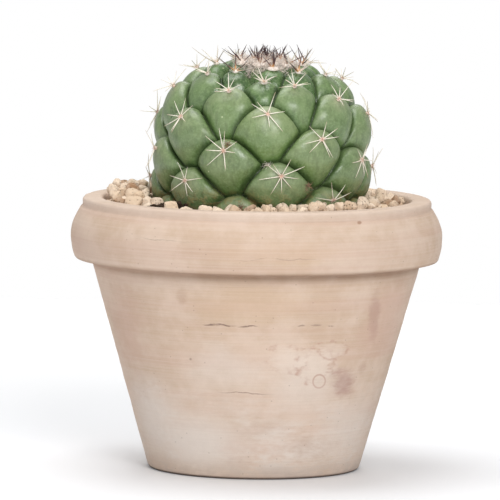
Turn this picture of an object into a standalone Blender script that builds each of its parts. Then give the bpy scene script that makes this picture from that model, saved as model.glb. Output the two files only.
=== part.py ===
"""Round cactus in a turned clay pot: pot, soil, pumice top dressing, the tubercled stem, its woolly crown
and a star of spines on each tubercle.

Metres, +Z up. The origin is the centre of the pot's foot, and the front faces -Y. An azimuth of 0 looks
towards the front and grows towards +X.
"""
import math

import bmesh
import bpy
import numpy as np
from mathutils import Matrix, Vector

GAP = 0.0004                      # left between pieces that touch

# Pot
RIM_RADIUS = 0.080                # widest line of the rim band
POT_HEIGHT = 0.1162
BAND_WIDEST_Z = 0.0998
BAND_BOTTOM_Z = 0.0912
BAND_TOP_Z = 0.1116
SWELL_ABOVE = 30.2                # how fast the band draws in above its widest line, 1/m
SWELL_BELOW = 20.3
LIP_OUTER_RADIUS = 0.0750
LIP_INNER_RADIUS = 0.0664
LIP_ROUNDING = 0.0016
LIP_CHAMFER = 0.0010
STEP_HEIGHT = 0.0008              # the lip stands on the band with a small step
BAND_CHAMFER = 0.0012
NECK_RADIUS = 0.0704              # where the tapered body meets the underside of the band
NECK_Z = 0.0874
FOOT_RADIUS = 0.0464
NECK_CHAMFER = 0.0008
FOOT_ROUNDING = 0.0032
WALL = 0.0084
FLOOR_TOP_Z = 0.0100
FLOOR_CHAMFER = 0.0025
DRAIN_RADIUS = 0.0100
POT_STEPS = 56

# Filling
SOIL_TOP_Z = 0.1046
HOLLOW_CLEARANCE = 0.0034         # round the plant's base, for its lean and its facets
BURIED_Z = 0.0940                 # below this the base of the plant is smooth
PUMICE_TOP_Z = 0.1105
PUMICE_INNER_RADIUS = 0.0502
PUMICE_CHAMFER = 0.0020
FILLING_STEPS = 48

# Stem: two half superellipses round the plant's own axis, which leans a little from the soil up
PLANT_X = 0.0006
LEAN_FORWARD = math.radians(6.1)
LEAN_SIDEWAYS = math.radians(2.1)
STEM_RADIUS = 0.0476
EQUATOR_Z = 0.1370
CROWN_HEIGHT = 0.0385
BASE_DEPTH = 0.0570
CROWN_EXPONENT = 2.6
BASE_EXPONENT = 2.6
STEM_SEGMENTS = 84
STEM_RINGS = 42
RING_CROWDING = 1.25              # above 1 the rings are closer together near the apex

# Tubercles, numbered down from the youngest along one spiral
DIVERGENCE = math.radians(-137.7)
FIRST_AZIMUTH = math.radians(1.0)
FIRST_AREOLE_Z = 0.1605           # height of the areole numbered 0 on the upright stem
YOUNGEST = -36
OLDEST = 34
CELL_AREA = 0.000588              # stem surface that one grown tubercle covers
CROWDING = 1.33                   # that area shrinks with this power of the arc near the apex
GROWN_ARC = 0.0500                # arc from the apex at which a tubercle is fully grown
FLAT_ARC = 0.0850                 # arc at which the older ones have spread wide and low
TUBERCLE_HEIGHT = 0.0120
SLIM_WIDTH = 0.0174               # half width and half length of a cell, young and old
WIDE_WIDTH = 0.0202
SLIM_LENGTH = 0.0154
WIDE_LENGTH = 0.0140
AREOLE_RISE = 0.0042              # how far an areole sits above the middle of its tubercle
CORNERS = 1.4                     # 1 gives a lozenge, 2 an ellipse
CORNER_SOFTNESS = 0.12
ROUNDNESS = 2.6
YOUNG_HEIGHT = 0.83               # tubercle height grows with this power of its size
UPWARD_TILT = math.radians(32)
TURN_WAVER = 0.022                # how far the rows stray from the perfect spiral, round the stem
ARC_WAVER = 0.0007                # and along it
STRAYS = {-18: (0.00, 0.0026), -13: (0.12, 0.0034), -5: (0.06, 0.0), 10: (0.0, 0.0020), 18: (0.0, 0.0024)}

# Spines
FIRST_CLUSTER = -12
LAST_CLUSTER = 19
SPINE_LENGTH = 0.0108
PAD_RADIUS = 0.0012
PAD_HEIGHT = 0.0009
SPINE_RISE = math.radians(15)
YOUNG_RISE = math.radians(34)
YOUNG_RANGE = 0.35                # a tubercle smaller by this share has young spines
YOUNG_SHORTENING = 0.25
SPINE_TIP_SHARE = 0.22
SPINE_CLEARANCE = 0.0040          # spines that would come nearer to the pumice are left out

# Crown
TUFT_RADIUS = 0.0185
TUFT_THICKNESS = 0.0016
TUFT_SEGMENTS = 14
TUFT_RINGS = 8
CROWN_SPINE_TOP_Z = 0.1822
CROWN_SPINE_WIDTH = 0.0007
CROWN_SPINE_TIP_SHARE = 0.3
CROWN_SPINE_LEAN = 0.7
CROWN_SPINE_EDGE = 0.85           # none beyond this share of the tuft's radius
SHORTER_SPINE = 0.8

LEAN = Matrix.Rotation(LEAN_SIDEWAYS, 3, "Y") @ Matrix.Rotation(LEAN_FORWARD, 3, "X")

# Loose stones
STONE_COUNT = 15
STONE_RING_RADIUS = 0.0578
STONE_FIRST_AZIMUTH = math.radians(-17)
STONE_AZIMUTH_WAVER = 0.06
STONE_RADIUS_WAVER = 0.0015
STONE_HALF_SIZES = (0.0036, 0.0054)
STONE_FLATNESS = 0.72             # height over width
STONE_CUTS = 8
STONE_CUT_DEPTHS = (0.62, 0.90)
STONE_SEED = 31


# ---------------------------------------------------------------- scene and helpers

def clear_scene():
    for thing in list(bpy.data.objects):
        bpy.data.objects.remove(thing, do_unlink=True)


def make_collection(name):
    collection = bpy.data.collections.new(name)
    bpy.context.scene.collection.children.link(collection)
    return collection


def make_material(name, colour, roughness):
    material = bpy.data.materials.new(name)
    material.use_nodes = True
    shader = material.node_tree.nodes["Principled BSDF"]
    shader.inputs["Base Color"].default_value = (*colour, 1.0)
    shader.inputs["Roughness"].default_value = roughness
    return material


def add_object(name, mesh, material, collection):
    thing = bpy.data.objects.new(name, mesh)
    mesh.materials.append(material)
    collection.objects.link(thing)
    return thing


def turned_piece(name, outline, steps, material, collection, open_after=None):
    """An outline in the XZ plane at +X, turned once round Z. It is closed, except after one point that lies
    on the axis, where the piece needs no edge."""
    mesh = bpy.data.meshes.new(name)
    count = len(outline)
    points = [(radius, 0.0, height) for radius, height in outline]
    edges = [(i, (i + 1) % count) for i in range(count) if i != open_after]
    mesh.from_pydata(points, edges, [])
    thing = add_object(name, mesh, material, collection)
    screw = thing.modifiers.new("turn", "SCREW")
    screw.steps = steps
    screw.render_steps = steps
    screw.use_merge_vertices = True
    screw.merge_threshold = 0.00001
    screw.use_smooth_shade = True
    return thing


def bmesh_piece(name, bm, material, collection):
    bmesh.ops.recalc_face_normals(bm, faces=bm.faces)
    mesh = bpy.data.meshes.new(name)
    bm.to_mesh(mesh)
    bm.free()
    mesh.shade_smooth()
    mesh.set_sharp_from_angle(angle=math.radians(40))
    return add_object(name, mesh, material, collection)


def outward(azimuth):
    """Horizontal unit vector at an azimuth."""
    return Vector((math.sin(azimuth), -math.cos(azimuth), 0.0))


# ---------------------------------------------------------------- pot and filling

def band_radius(height):
    """The rim band is a parabola on each side of its widest line."""
    rise = height - BAND_WIDEST_Z
    return RIM_RADIUS - (SWELL_ABOVE if rise > 0 else SWELL_BELOW) * rise * rise


def body_radius(height):
    """The body tapers in a straight line from the neck to the foot."""
    slope = (NECK_RADIUS - FOOT_RADIUS) / (NECK_Z - FOOT_ROUNDING)
    return FOOT_RADIUS + slope * (height - FOOT_ROUNDING)


def wall_inside(height):
    """Inner face of the wall: parallel to the body, then opening less steeply to the lip."""
    if height <= NECK_Z:
        return body_radius(height) - WALL
    share = (height - NECK_Z) / (POT_HEIGHT - NECK_Z)
    neck = NECK_RADIUS - WALL
    return neck + share * (LIP_INNER_RADIUS - neck)


def quarter_arc(centre, radius, start, steps):
    """Points of a quarter circle, clockwise from the start angle."""
    angles = [start - math.pi / 2 * k / steps for k in range(steps + 1)]
    return [(centre[0] + radius * math.cos(a), centre[1] + radius * math.sin(a)) for a in angles]


def pot_outline():
    """Down the outside from the lip, across the foot, and up the drain hole and the inner wall."""
    lip_centre = (LIP_OUTER_RADIUS - LIP_ROUNDING, POT_HEIGHT - LIP_ROUNDING)
    outline = quarter_arc(lip_centre, LIP_ROUNDING, math.pi / 2, 3)
    outline.append((LIP_OUTER_RADIUS, BAND_TOP_Z + STEP_HEIGHT))
    for k in range(4):
        height = BAND_TOP_Z + (BAND_WIDEST_Z - BAND_TOP_Z) * k / 3
        outline.append((band_radius(height), height))
    for k in range(1, 3):
        height = BAND_WIDEST_Z + (BAND_BOTTOM_Z - BAND_WIDEST_Z) * k / 2
        outline.append((band_radius(height), height))
    outline.append((band_radius(BAND_BOTTOM_Z) - BAND_CHAMFER, BAND_BOTTOM_Z - BAND_CHAMFER))
    outline.append((NECK_RADIUS + NECK_CHAMFER, NECK_Z + NECK_CHAMFER))
    outline.append((NECK_RADIUS, NECK_Z))
    foot_centre = (FOOT_RADIUS - FOOT_ROUNDING, FOOT_ROUNDING)
    outline += quarter_arc(foot_centre, FOOT_ROUNDING, 0.0, 3)
    outline.append((DRAIN_RADIUS, 0.0))
    outline.append((DRAIN_RADIUS, FLOOR_TOP_Z))
    outline.append((wall_inside(FLOOR_TOP_Z) - FLOOR_CHAMFER, FLOOR_TOP_Z))
    outline.append((wall_inside(FLOOR_TOP_Z + FLOOR_CHAMFER), FLOOR_TOP_Z + FLOOR_CHAMFER))
    outline.append((wall_inside(NECK_Z), NECK_Z))
    outline.append((LIP_INNER_RADIUS, POT_HEIGHT - LIP_CHAMFER))
    outline.append((LIP_INNER_RADIUS + LIP_CHAMFER, POT_HEIGHT))
    return outline


def make_pot(materials, collection):
    return turned_piece("pot", pot_outline(), POT_STEPS, materials["clay"], collection)


def hollow_outline(top, steps=9):
    """Half outline of the hollow that the plant's base sits in, from its lowest point up to the top.

    It follows the envelope of the base, further out by the clearance and lower at the bottom.
    """
    last = math.acos(((EQUATOR_Z - top) / BASE_DEPTH) ** (BASE_EXPONENT / 2))
    outline = [(0.0, EQUATOR_Z - BASE_DEPTH - 3 * GAP)]
    for k in range(1, steps + 1):
        turn = last * k / steps
        height = EQUATOR_Z - BASE_DEPTH * math.cos(turn) ** (2 / BASE_EXPONENT)
        outline.append((envelope_radius(height) + HOLLOW_CLEARANCE, height - 3 * GAP * math.cos(turn) ** 4))
    return outline


def make_soil(materials, collection):
    """Potting mix: fills the pot round a hollow with the shape of the plant's base."""
    lowest = FLOOR_TOP_Z + GAP
    outline = [(wall_inside(SOIL_TOP_Z) - GAP, SOIL_TOP_Z),
               (wall_inside(NECK_Z) - GAP, NECK_Z),
               (wall_inside(FLOOR_TOP_Z + FLOOR_CHAMFER) - GAP, FLOOR_TOP_Z + FLOOR_CHAMFER + GAP),
               (wall_inside(FLOOR_TOP_Z) - FLOOR_CHAMFER - GAP, lowest),
               (0.0, lowest)]
    outline += hollow_outline(SOIL_TOP_Z)
    return turned_piece("soil", outline, FILLING_STEPS, materials["soil"], collection, open_after=4)


def make_pumice_layer(materials, collection):
    """The packed lower part of the top dressing, a low ring between the plant and the wall."""
    lowest = SOIL_TOP_Z + GAP
    wall = wall_inside(lowest) - GAP
    inner = PUMICE_INNER_RADIUS
    outline = [(inner + PUMICE_CHAMFER, PUMICE_TOP_Z),
               (wall, PUMICE_TOP_Z),
               (wall, lowest),
               (inner, lowest),
               (inner, PUMICE_TOP_Z - PUMICE_CHAMFER)]
    return turned_piece("pumice_layer", outline, FILLING_STEPS, materials["pumice"], collection)


# ---------------------------------------------------------------- stem

def envelope_radius(height):
    """Radius of the surface through the tubercles' tips at a height."""
    rise = height - EQUATOR_Z
    if rise > 0:
        share = min(rise / CROWN_HEIGHT, 1.0)
        return STEM_RADIUS * (1 - share ** CROWN_EXPONENT) ** (1 / CROWN_EXPONENT)
    share = min(-rise / BASE_DEPTH, 1.0)
    return STEM_RADIUS * (1 - share ** BASE_EXPONENT) ** (1 / BASE_EXPONENT)


def meridian_table(count=1500):
    """Envelope from the apex to the tip of the root: arc, radius, height and outward normal."""
    turn = np.linspace(0.0, np.pi, count)
    upper = turn <= np.pi / 2
    power = np.where(upper, 2 / CROWN_EXPONENT, 2 / BASE_EXPONENT)
    radius = STEM_RADIUS * np.clip(np.sin(turn), 0, 1) ** power
    reach = np.where(upper, CROWN_HEIGHT, BASE_DEPTH)
    height = EQUATOR_Z + reach * np.sign(np.cos(turn)) * np.abs(np.cos(turn)) ** power
    step = np.hypot(np.diff(radius), np.diff(height))
    arc = np.concatenate([[0.0], np.cumsum(step)])
    d_radius = np.gradient(radius, arc)
    d_height = np.gradient(height, arc)
    length = np.hypot(d_radius, d_height)
    return arc, radius, height, -d_height / length, d_radius / length


def lean(points):
    """Tips the plant forwards, then sideways, about its axis at the soil. The buried part stays upright."""
    pivot = np.array([PLANT_X, 0.0, SOIL_TOP_Z])
    bare = np.clip((points[:, 2:] - BURIED_Z) / (SOIL_TOP_Z - BURIED_Z), 0.0, 1.0)
    tipped = (points - pivot) @ np.array(LEAN).T + pivot
    return points + (tipped - points) * bare


def size_at(arc):
    """Size of a tubercle at an arc from the apex, 1 where it is grown."""
    return np.clip(arc / GROWN_ARC, 0.02, 1.0) ** (CROWDING / 2)


def tubercle_lattice(table):
    """Number, azimuth, arc and relative size of each tubercle.

    Each turns by the divergence from the one before, and moves along the meridian by the area that it
    covers over the stem's girth there. Slow sines keep the rows from being perfectly regular, and a few
    tubercles stand off the spiral on their own.
    """
    arc, radius, height = table[:3]
    upper = height > EQUATOR_Z - BASE_DEPTH / 2
    first = float(np.interp(-FIRST_AREOLE_Z, -height[upper], arc[upper]))

    def advance(place):
        return CELL_AREA * size_at(place) ** 2 / (2 * math.pi * float(np.interp(place, arc, radius)))

    places = {0: first}
    for number in range(1, OLDEST + 1):
        places[number] = places[number - 1] + advance(places[number - 1])
    for number in range(-1, YOUNGEST - 1, -1):
        places[number] = places[number + 1] - advance(places[number + 1])
    numbers = np.array(sorted(places))
    arcs = np.array([places[n] for n in numbers])
    sizes = size_at(arcs)
    azimuths = FIRST_AZIMUTH + numbers * DIVERGENCE + TURN_WAVER * np.sin(2.3 * numbers + 1.0)
    arcs = arcs + ARC_WAVER * sizes * np.sin(4.1 * numbers)
    for number, (turn, slide) in STRAYS.items():
        azimuths[numbers == number] += turn
        arcs[numbers == number] += slide
    return numbers, azimuths, arcs, sizes


def hollow_depth(azimuth, arc, girth_radius, lattice):
    """How far the skin lies under the envelope.

    Each tubercle is a dome over a lozenge with soft corners. The skin is the highest of the domes, so the
    creases run where two of them are equally high.
    """
    _, azimuths, arcs, sizes = lattice
    spread = np.clip((arcs - GROWN_ARC) / (FLAT_ARC - GROWN_ARC), 0.0, 1.0)
    width = sizes * (SLIM_WIDTH + (WIDE_WIDTH - SLIM_WIDTH) * spread)
    length = sizes * (SLIM_LENGTH + (WIDE_LENGTH - SLIM_LENGTH) * spread)
    turn = (azimuth[:, None] - azimuths[None, :] + math.pi) % (2 * math.pi) - math.pi
    across = girth_radius[:, None] * turn / width
    down = (arc[:, None] - arcs[None, :] - AREOLE_RISE * sizes) / length
    across = np.hypot(across, CORNER_SOFTNESS) - CORNER_SOFTNESS
    down = np.hypot(down, CORNER_SOFTNESS) - CORNER_SOFTNESS
    distance = (across ** CORNERS + down ** CORNERS) ** (1 / CORNERS)
    dome = sizes ** YOUNG_HEIGHT * (1 - distance ** ROUNDNESS)
    limit = size_at(arc) ** YOUNG_HEIGHT
    return TUBERCLE_HEIGHT * np.clip(limit - dome.max(axis=1), 0.0, 1.15 * limit)


def stem_points(azimuth, arc, table, lattice):
    """Points of the skin, sunk below the envelope along a line that is tilted up from the normal."""
    arcs, radii, heights, normal_out, normal_up = table
    radius = np.interp(arc, arcs, radii)
    height = np.interp(arc, arcs, heights)
    out = np.interp(arc, arcs, normal_out)
    up = np.interp(arc, arcs, normal_up)
    bare = np.clip((height - BURIED_Z) / (SOIL_TOP_Z - BURIED_Z), 0.0, 1.0)
    depth = hollow_depth(azimuth, arc, radius, lattice) * bare
    tilt = UPWARD_TILT * np.clip(arc / GROWN_ARC, 0.0, 1.0)
    sink_out = out * np.cos(tilt) - up * np.sin(tilt)
    sink_up = up * np.cos(tilt) + out * np.sin(tilt)
    radius = radius - depth * sink_out
    height = height - depth * sink_up
    return lean(np.stack([PLANT_X + radius * np.sin(azimuth), -radius * np.cos(azimuth), height], axis=1))


def make_cactus_body(table, lattice, materials, collection):
    """A sphere whose rings and meridians are laid on the stem."""
    bm = bmesh.new()
    bmesh.ops.create_uvsphere(bm, u_segments=STEM_SEGMENTS, v_segments=STEM_RINGS, radius=1.0)
    unit = np.array([vert.co[:] for vert in bm.verts])
    polar = np.arccos(np.clip(unit[:, 2], -1.0, 1.0)) / math.pi
    azimuth = np.arctan2(unit[:, 0], -unit[:, 1])
    arc = table[0][-1] * polar ** RING_CROWDING
    for vert, point in zip(bm.verts, stem_points(azimuth, arc, table, lattice)):
        vert.co = point
    return bmesh_piece("cactus_body", bm, materials["skin"], collection)


# ---------------------------------------------------------------- spines

def areole_frame(azimuth, arc, table):
    """Where a tubercle's areole sits, and the direction that it faces."""
    arcs, radii, heights, normal_out, normal_up = table
    radius = float(np.interp(arc, arcs, radii))
    height = float(np.interp(arc, arcs, heights))
    pitch = math.atan2(float(np.interp(arc, arcs, normal_up)), float(np.interp(arc, arcs, normal_out)))
    facing = outward(azimuth) * math.cos(pitch) + Vector((0.0, 0.0, math.sin(pitch)))
    place = Vector((PLANT_X, 0.0, height)) + outward(azimuth) * radius
    return Vector(lean(np.array([place]))[0]), LEAN @ facing.normalized()


def star_matrix(place, facing, azimuth):
    """Local Z faces out of the areole, and local -Y points down the stem."""
    across = LEAN @ Vector((math.cos(azimuth), math.sin(azimuth), 0.0))
    upward = facing.cross(across).normalized()
    return Matrix.Translation(place) @ Matrix((across, upward, facing)).transposed().to_4x4()


def spine_count(number):
    return 6 + (number * 5 % 7) % 3


def draw_spine(bm, face, direction, length, tip_share):
    """Draw one face out along a direction, shrinking it to a share of its size, and return its new end."""
    spine = bmesh.ops.extrude_discrete_faces(bm, faces=[face])["faces"][0]
    middle = spine.calc_center_median()
    for vert in spine.verts:
        vert.co = middle + (vert.co - middle) * tip_share + direction * length
    return spine


def make_spine_cluster(number, azimuth, arc, size, table, materials, collection):
    """A star of spines: every second side of a flat pad is drawn out into a spine."""
    count = spine_count(number)
    place, facing = areole_frame(azimuth, arc, table)
    matrix = star_matrix(place + facing * (GAP + PAD_HEIGHT / 2), facing, azimuth)
    young = min(max((1.0 - size) / YOUNG_RANGE, 0.0), 1.0)
    rise = SPINE_RISE + (YOUNG_RISE - SPINE_RISE) * young
    length = SPINE_LENGTH * (1 - YOUNG_SHORTENING * young)
    bm = bmesh.new()
    bmesh.ops.create_cone(bm, cap_ends=True, segments=2 * count, radius1=PAD_RADIUS, radius2=PAD_RADIUS,
                          depth=PAD_HEIGHT)
    start = -math.pi / 2 - math.pi / (2 * count)
    bmesh.ops.rotate(bm, verts=bm.verts, matrix=Matrix.Rotation(start, 3, "Z"))
    sides = [face for face in bm.faces if abs(face.normal.z) < 0.5]
    sides.sort(key=lambda face: (math.atan2(face.normal.y, face.normal.x) + math.pi / 2 + 0.01) % math.tau)
    for side in sides[::2]:
        level = side.normal.normalized()
        direction = level * math.cos(rise) + Vector((0.0, 0.0, math.sin(rise)))
        tip = matrix @ (side.calc_center_median() + direction * length)
        if tip.z > PUMICE_TOP_Z + SPINE_CLEARANCE:
            draw_spine(bm, side, direction, length, SPINE_TIP_SHARE)
    bmesh.ops.transform(bm, matrix=matrix, verts=bm.verts)
    name = "spine_cluster_%02d" % (number - FIRST_CLUSTER + 1)
    return bmesh_piece(name, bm, materials["spine"], collection)


def crown_floor(radius):
    """Height of the envelope at a distance from the plant's axis, near the apex."""
    fall = (1 - (radius / STEM_RADIUS) ** CROWN_EXPONENT) ** (1 / CROWN_EXPONENT)
    return EQUATOR_Z + CROWN_HEIGHT * fall


def make_crown_tuft(materials, collection):
    """A low cushion of wool over the apex, with the erect spines of the youngest areoles drawn out of it."""
    bm = bmesh.new()
    bmesh.ops.create_uvsphere(bm, u_segments=TUFT_SEGMENTS, v_segments=TUFT_RINGS, radius=1.0)
    for vert in bm.verts:
        radius = TUFT_RADIUS * math.hypot(vert.co.x, vert.co.y)
        thickness = TUFT_THICKNESS * vert.co.z if vert.co.z > 0 else 0.0
        vert.co = (PLANT_X + vert.co.x * TUFT_RADIUS, vert.co.y * TUFT_RADIUS,
                   crown_floor(radius) + GAP + thickness)
    bm.normal_update()
    axis = Vector((PLANT_X, 0.0, 0.0))
    upper = [face for face in bm.faces if face.normal.z > 0.3 and len(face.verts) == 4]
    for index, face in enumerate(upper):
        middle = face.calc_center_median()
        level = (middle - axis) * Vector((1, 1, 0))
        if index % 2 or level.length > CROWN_SPINE_EDGE * TUFT_RADIUS:
            continue
        direction = (level * CROWN_SPINE_LEAN / TUFT_RADIUS + Vector((0, 0, 1))).normalized()
        rise = CROWN_SPINE_TOP_Z - lean(np.array([middle]))[0][2]
        length = rise / (LEAN @ direction).z * (1.0 if index % 4 else SHORTER_SPINE)
        root = draw_spine(bm, face, direction, 0.0, CROWN_SPINE_WIDTH / math.sqrt(face.calc_area()))
        draw_spine(bm, root, direction, length, CROWN_SPINE_TIP_SHARE)
    for vert, point in zip(bm.verts, lean(np.array([vert.co[:] for vert in bm.verts]))):
        vert.co = point
    return bmesh_piece("crown_tuft", bm, materials["wool"], collection)


# ---------------------------------------------------------------- loose stones

def make_stone(index, chance, materials, collection):
    """An angular pumice stone: a sphere flattened by a few random planes, resting on the packed layer."""
    bm = bmesh.new()
    bmesh.ops.create_icosphere(bm, subdivisions=2, radius=1.0)
    for _ in range(STONE_CUTS):
        plane = Vector(chance.normal(size=3)).normalized()
        offset = chance.uniform(*STONE_CUT_DEPTHS)
        for vert in bm.verts:
            beyond = vert.co.dot(plane) - offset
            if beyond > 0:
                vert.co -= plane * beyond
    half_sizes = chance.uniform(*STONE_HALF_SIZES, size=3) * np.array([1.0, 1.0, STONE_FLATNESS])
    turn = Matrix.Rotation(chance.uniform(0, math.tau), 3, "Z")
    for vert in bm.verts:
        vert.co = turn @ Vector(vert.co * Vector(half_sizes))
    lowest = min(vert.co.z for vert in bm.verts)
    azimuth = STONE_FIRST_AZIMUTH + math.tau * index / STONE_COUNT
    azimuth += chance.uniform(-STONE_AZIMUTH_WAVER, STONE_AZIMUTH_WAVER)
    place = outward(azimuth) * (STONE_RING_RADIUS + chance.uniform(-STONE_RADIUS_WAVER, STONE_RADIUS_WAVER))
    place.z = PUMICE_TOP_Z + GAP - lowest
    bmesh.ops.translate(bm, verts=bm.verts, vec=place)
    return bmesh_piece("stone_%02d" % (index + 1), bm, materials["pumice"], collection)


def build():
    clear_scene()
    collection = make_collection("potted_round_cactus")
    materials = {"clay": make_material("clay", (0.68, 0.51, 0.39), 0.9),
                 "soil": make_material("soil", (0.035, 0.024, 0.018), 1.0),
                 "pumice": make_material("pumice", (0.62, 0.47, 0.33), 0.95),
                 "skin": make_material("skin", (0.12, 0.21, 0.08), 0.45),
                 "wool": make_material("wool", (0.78, 0.68, 0.55), 1.0),
                 "spine": make_material("spine", (0.74, 0.64, 0.52), 0.6)}
    table = meridian_table()
    lattice = tubercle_lattice(table)
    make_pot(materials, collection)
    make_soil(materials, collection)
    make_pumice_layer(materials, collection)
    make_cactus_body(table, lattice, materials, collection)
    for number, azimuth, arc, size in zip(*lattice):
        if FIRST_CLUSTER <= number <= LAST_CLUSTER:
            make_spine_cluster(int(number), float(azimuth), float(arc), float(size), table, materials,
                               collection)
    make_crown_tuft(materials, collection)
    chance = np.random.default_rng(STONE_SEED)
    for index in range(STONE_COUNT):
        make_stone(index, chance, materials, collection)


build()
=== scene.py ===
"""Round cactus in a pale clay pot: the finished surfaces, built round the fixed frame.

Metres, +Z up, front towards -Y. An azimuth of 0 looks towards the front and grows towards +X. Every
surface is a grid of points: its rows run down the piece and its columns run round it, so that its faces look
outwards.
"""
import math

import bpy
import numpy as np
from mathutils import Matrix, Vector


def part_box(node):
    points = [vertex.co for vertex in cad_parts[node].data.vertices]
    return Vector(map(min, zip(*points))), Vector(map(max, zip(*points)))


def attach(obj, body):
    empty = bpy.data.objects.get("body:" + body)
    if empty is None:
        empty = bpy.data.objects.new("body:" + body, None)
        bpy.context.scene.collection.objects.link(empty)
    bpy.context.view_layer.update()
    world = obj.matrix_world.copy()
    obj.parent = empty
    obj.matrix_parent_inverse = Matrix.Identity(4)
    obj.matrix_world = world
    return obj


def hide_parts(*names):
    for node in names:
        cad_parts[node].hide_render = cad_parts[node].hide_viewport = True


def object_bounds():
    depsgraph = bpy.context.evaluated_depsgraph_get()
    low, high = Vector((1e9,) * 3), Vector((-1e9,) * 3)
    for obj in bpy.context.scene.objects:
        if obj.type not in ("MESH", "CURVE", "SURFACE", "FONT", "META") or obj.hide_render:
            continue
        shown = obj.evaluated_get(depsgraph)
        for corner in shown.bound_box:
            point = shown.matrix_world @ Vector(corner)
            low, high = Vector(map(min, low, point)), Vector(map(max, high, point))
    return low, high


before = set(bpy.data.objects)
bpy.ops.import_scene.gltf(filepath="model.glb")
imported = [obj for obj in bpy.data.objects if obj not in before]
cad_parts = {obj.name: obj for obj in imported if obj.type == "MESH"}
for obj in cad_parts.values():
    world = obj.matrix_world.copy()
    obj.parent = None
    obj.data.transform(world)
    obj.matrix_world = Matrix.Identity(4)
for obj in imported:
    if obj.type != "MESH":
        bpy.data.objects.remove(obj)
cad_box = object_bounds()

# ---------------------------------------------------------------- sizes

MM = 0.001

# Pot
RIM_RADIUS, _, POT_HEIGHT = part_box("pot")[1]
BAND_WIDEST_Z = 99.8 * MM
BAND_BOTTOM_Z = 91.2 * MM
BAND_TOP_Z = 111.6 * MM
SWELL_ABOVE = 30.2                # the band's radius falls with the square of the height, 1/m
SWELL_BELOW = 20.3
LIP_OUTER_RADIUS = 75.0 * MM
LIP_INNER_RADIUS = 66.4 * MM
NECK_RADIUS = 70.4 * MM
NECK_Z = 87.4 * MM
UNDERCUT_Z = 88.9 * MM            # where the underside of the band meets the body
FOOT_RADIUS = 46.4 * MM
FOOT_ROUNDING = 3.2 * MM
WALL = 8.4 * MM
FLOOR_TOP_Z = 10.0 * MM
DRAIN_RADIUS = 10.0 * MM
POT_COLUMNS = 400
POT_ROWS = 244
CHIPS = 26

# Stem
PLANT_X = 0.6 * MM
LEAN_FORWARD = math.radians(6.1)
LEAN_SIDEWAYS = math.radians(2.1)
LEAN = np.array(Matrix.Rotation(LEAN_SIDEWAYS, 3, "Y") @ Matrix.Rotation(LEAN_FORWARD, 3, "X"))
STEM_RADIUS = 47.6 * MM
EQUATOR_Z = 137.0 * MM
CROWN_HEIGHT = 38.5 * MM
BASE_DEPTH = 57.0 * MM
CROWN_EXPONENT = 2.6
BASE_EXPONENT = 2.6
STEM_COLUMNS = 440
STEM_ROWS = 224
BURIED_ROWS = 22

# Tubercles, numbered down from the youngest along one spiral
DIVERGENCE = math.radians(-137.7)
FIRST_AZIMUTH = math.radians(1.0)
FIRST_AREOLE_Z = 160.5 * MM
YOUNGEST = -36
OLDEST = 34
CELL_AREA = 588e-6
CROWDING = 1.33                   # the area of a cell shrinks with this power of the arc near the apex
GROWN_ARC = 50.0 * MM
FLAT_ARC = 85.0 * MM
TUBERCLE_HEIGHT = 12.0 * MM
SLIM_WIDTH = 17.4 * MM
WIDE_WIDTH = 20.2 * MM
SLIM_LENGTH = 15.4 * MM
WIDE_LENGTH = 14.0 * MM
AREOLE_RISE = 4.2 * MM
CORNERS = 1.4
CORNER_SOFTNESS = 0.12
ROUNDNESS = 2.6
YOUNG_HEIGHT = 0.83
UPWARD_TILT = math.radians(32)
CREASE_DEPTH = 3.6 * MM
CREASE_REACH = 0.12
YOUNG_SIZE = 0.76                 # below this size the skin is still fresh and glossy
YOUNG_FADE = 0.22
TURN_WAVER = 0.022
ARC_WAVER = 0.7 * MM
# tubercles that stand off the spiral: number, turn, slide down
STRAYS = {-18: (0.0, 2.6 * MM), -13: (0.12, 3.4 * MM), -5: (0.06, 0.0), 10: (0.0, 2.0 * MM),
          18: (0.0, 2.4 * MM)}
BURIED_Z = 94.0 * MM
SOIL_TOP_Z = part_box("soil")[1].z
STEM_WAVER = 0.22 * MM            # slow unevenness of the skin
STEM_GRAIN = 0.07 * MM

# Spines
FIRST_CLUSTER = -12               # the tubercle whose star is spine_cluster_01
LAST_CLUSTER = 19
SPINE_LENGTH = 10.6 * MM
SPINE_RADIUS = 0.22 * MM
SPINE_START = 0.5 * MM            # how far above the skin a spine begins
SPINE_CLEARANCE = 4.0 * MM        # a spine whose tip is less than this above the pumice is left out
SPINE_RISE = math.radians(13)
YOUNG_RISE = math.radians(38)
YOUNG_RANGE = 0.35
DARK_BELOW = 0.62                 # spines of tubercles below this size are dark
DARK_FADE = 0.16
CROWN_SPINE_TOP_Z = cad_box[1].z - 0.1 * MM
CROWN_SPINE_LENGTH = 11.0 * MM    # at the crown's edge; shorter by the next value at the apex
CROWN_SPINE_LOSS = 4.0 * MM
CROWN_SPINE_RADIUS = 0.36 * MM
CROWN_SPINE_START = 0.3 * MM
CROWN_RISE = math.radians(34)
CROWN_RISE_GAIN = math.radians(20)
WOOLLY_ARC = 17.0 * MM            # nearer to the apex than this the wool runs together
PAD_RADIUS = 0.75 * MM
PAD_HEIGHT = 0.65 * MM
PAD_ROUGHNESS = 0.14 * MM
PAD_HAIRS = 36
CROWN_PAD_HAIRS = 44
TUFT_HAIRS = 46
MAT_HAIRS = 2200
MAT_ARC = 0.74 * WOOLLY_ARC
# number of a tubercle, how far round (rad) and down (mm) from its areole the tuft sits, and its age
AXIL_TUFTS = [(13, -0.125, -5.8, 0.0), (18, -0.27, -7.6, 1.9), (8, 0.03, -3.2, 2.2), (21, 0.03, -1.0, 2.0),
              (26, 0.1, -9.0, 1.8), (9, 0.1, -5.0, 1.6), (17, -0.1, -6.0, 1.9), (25, 0.0, -8.0, 2.0)]

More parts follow.
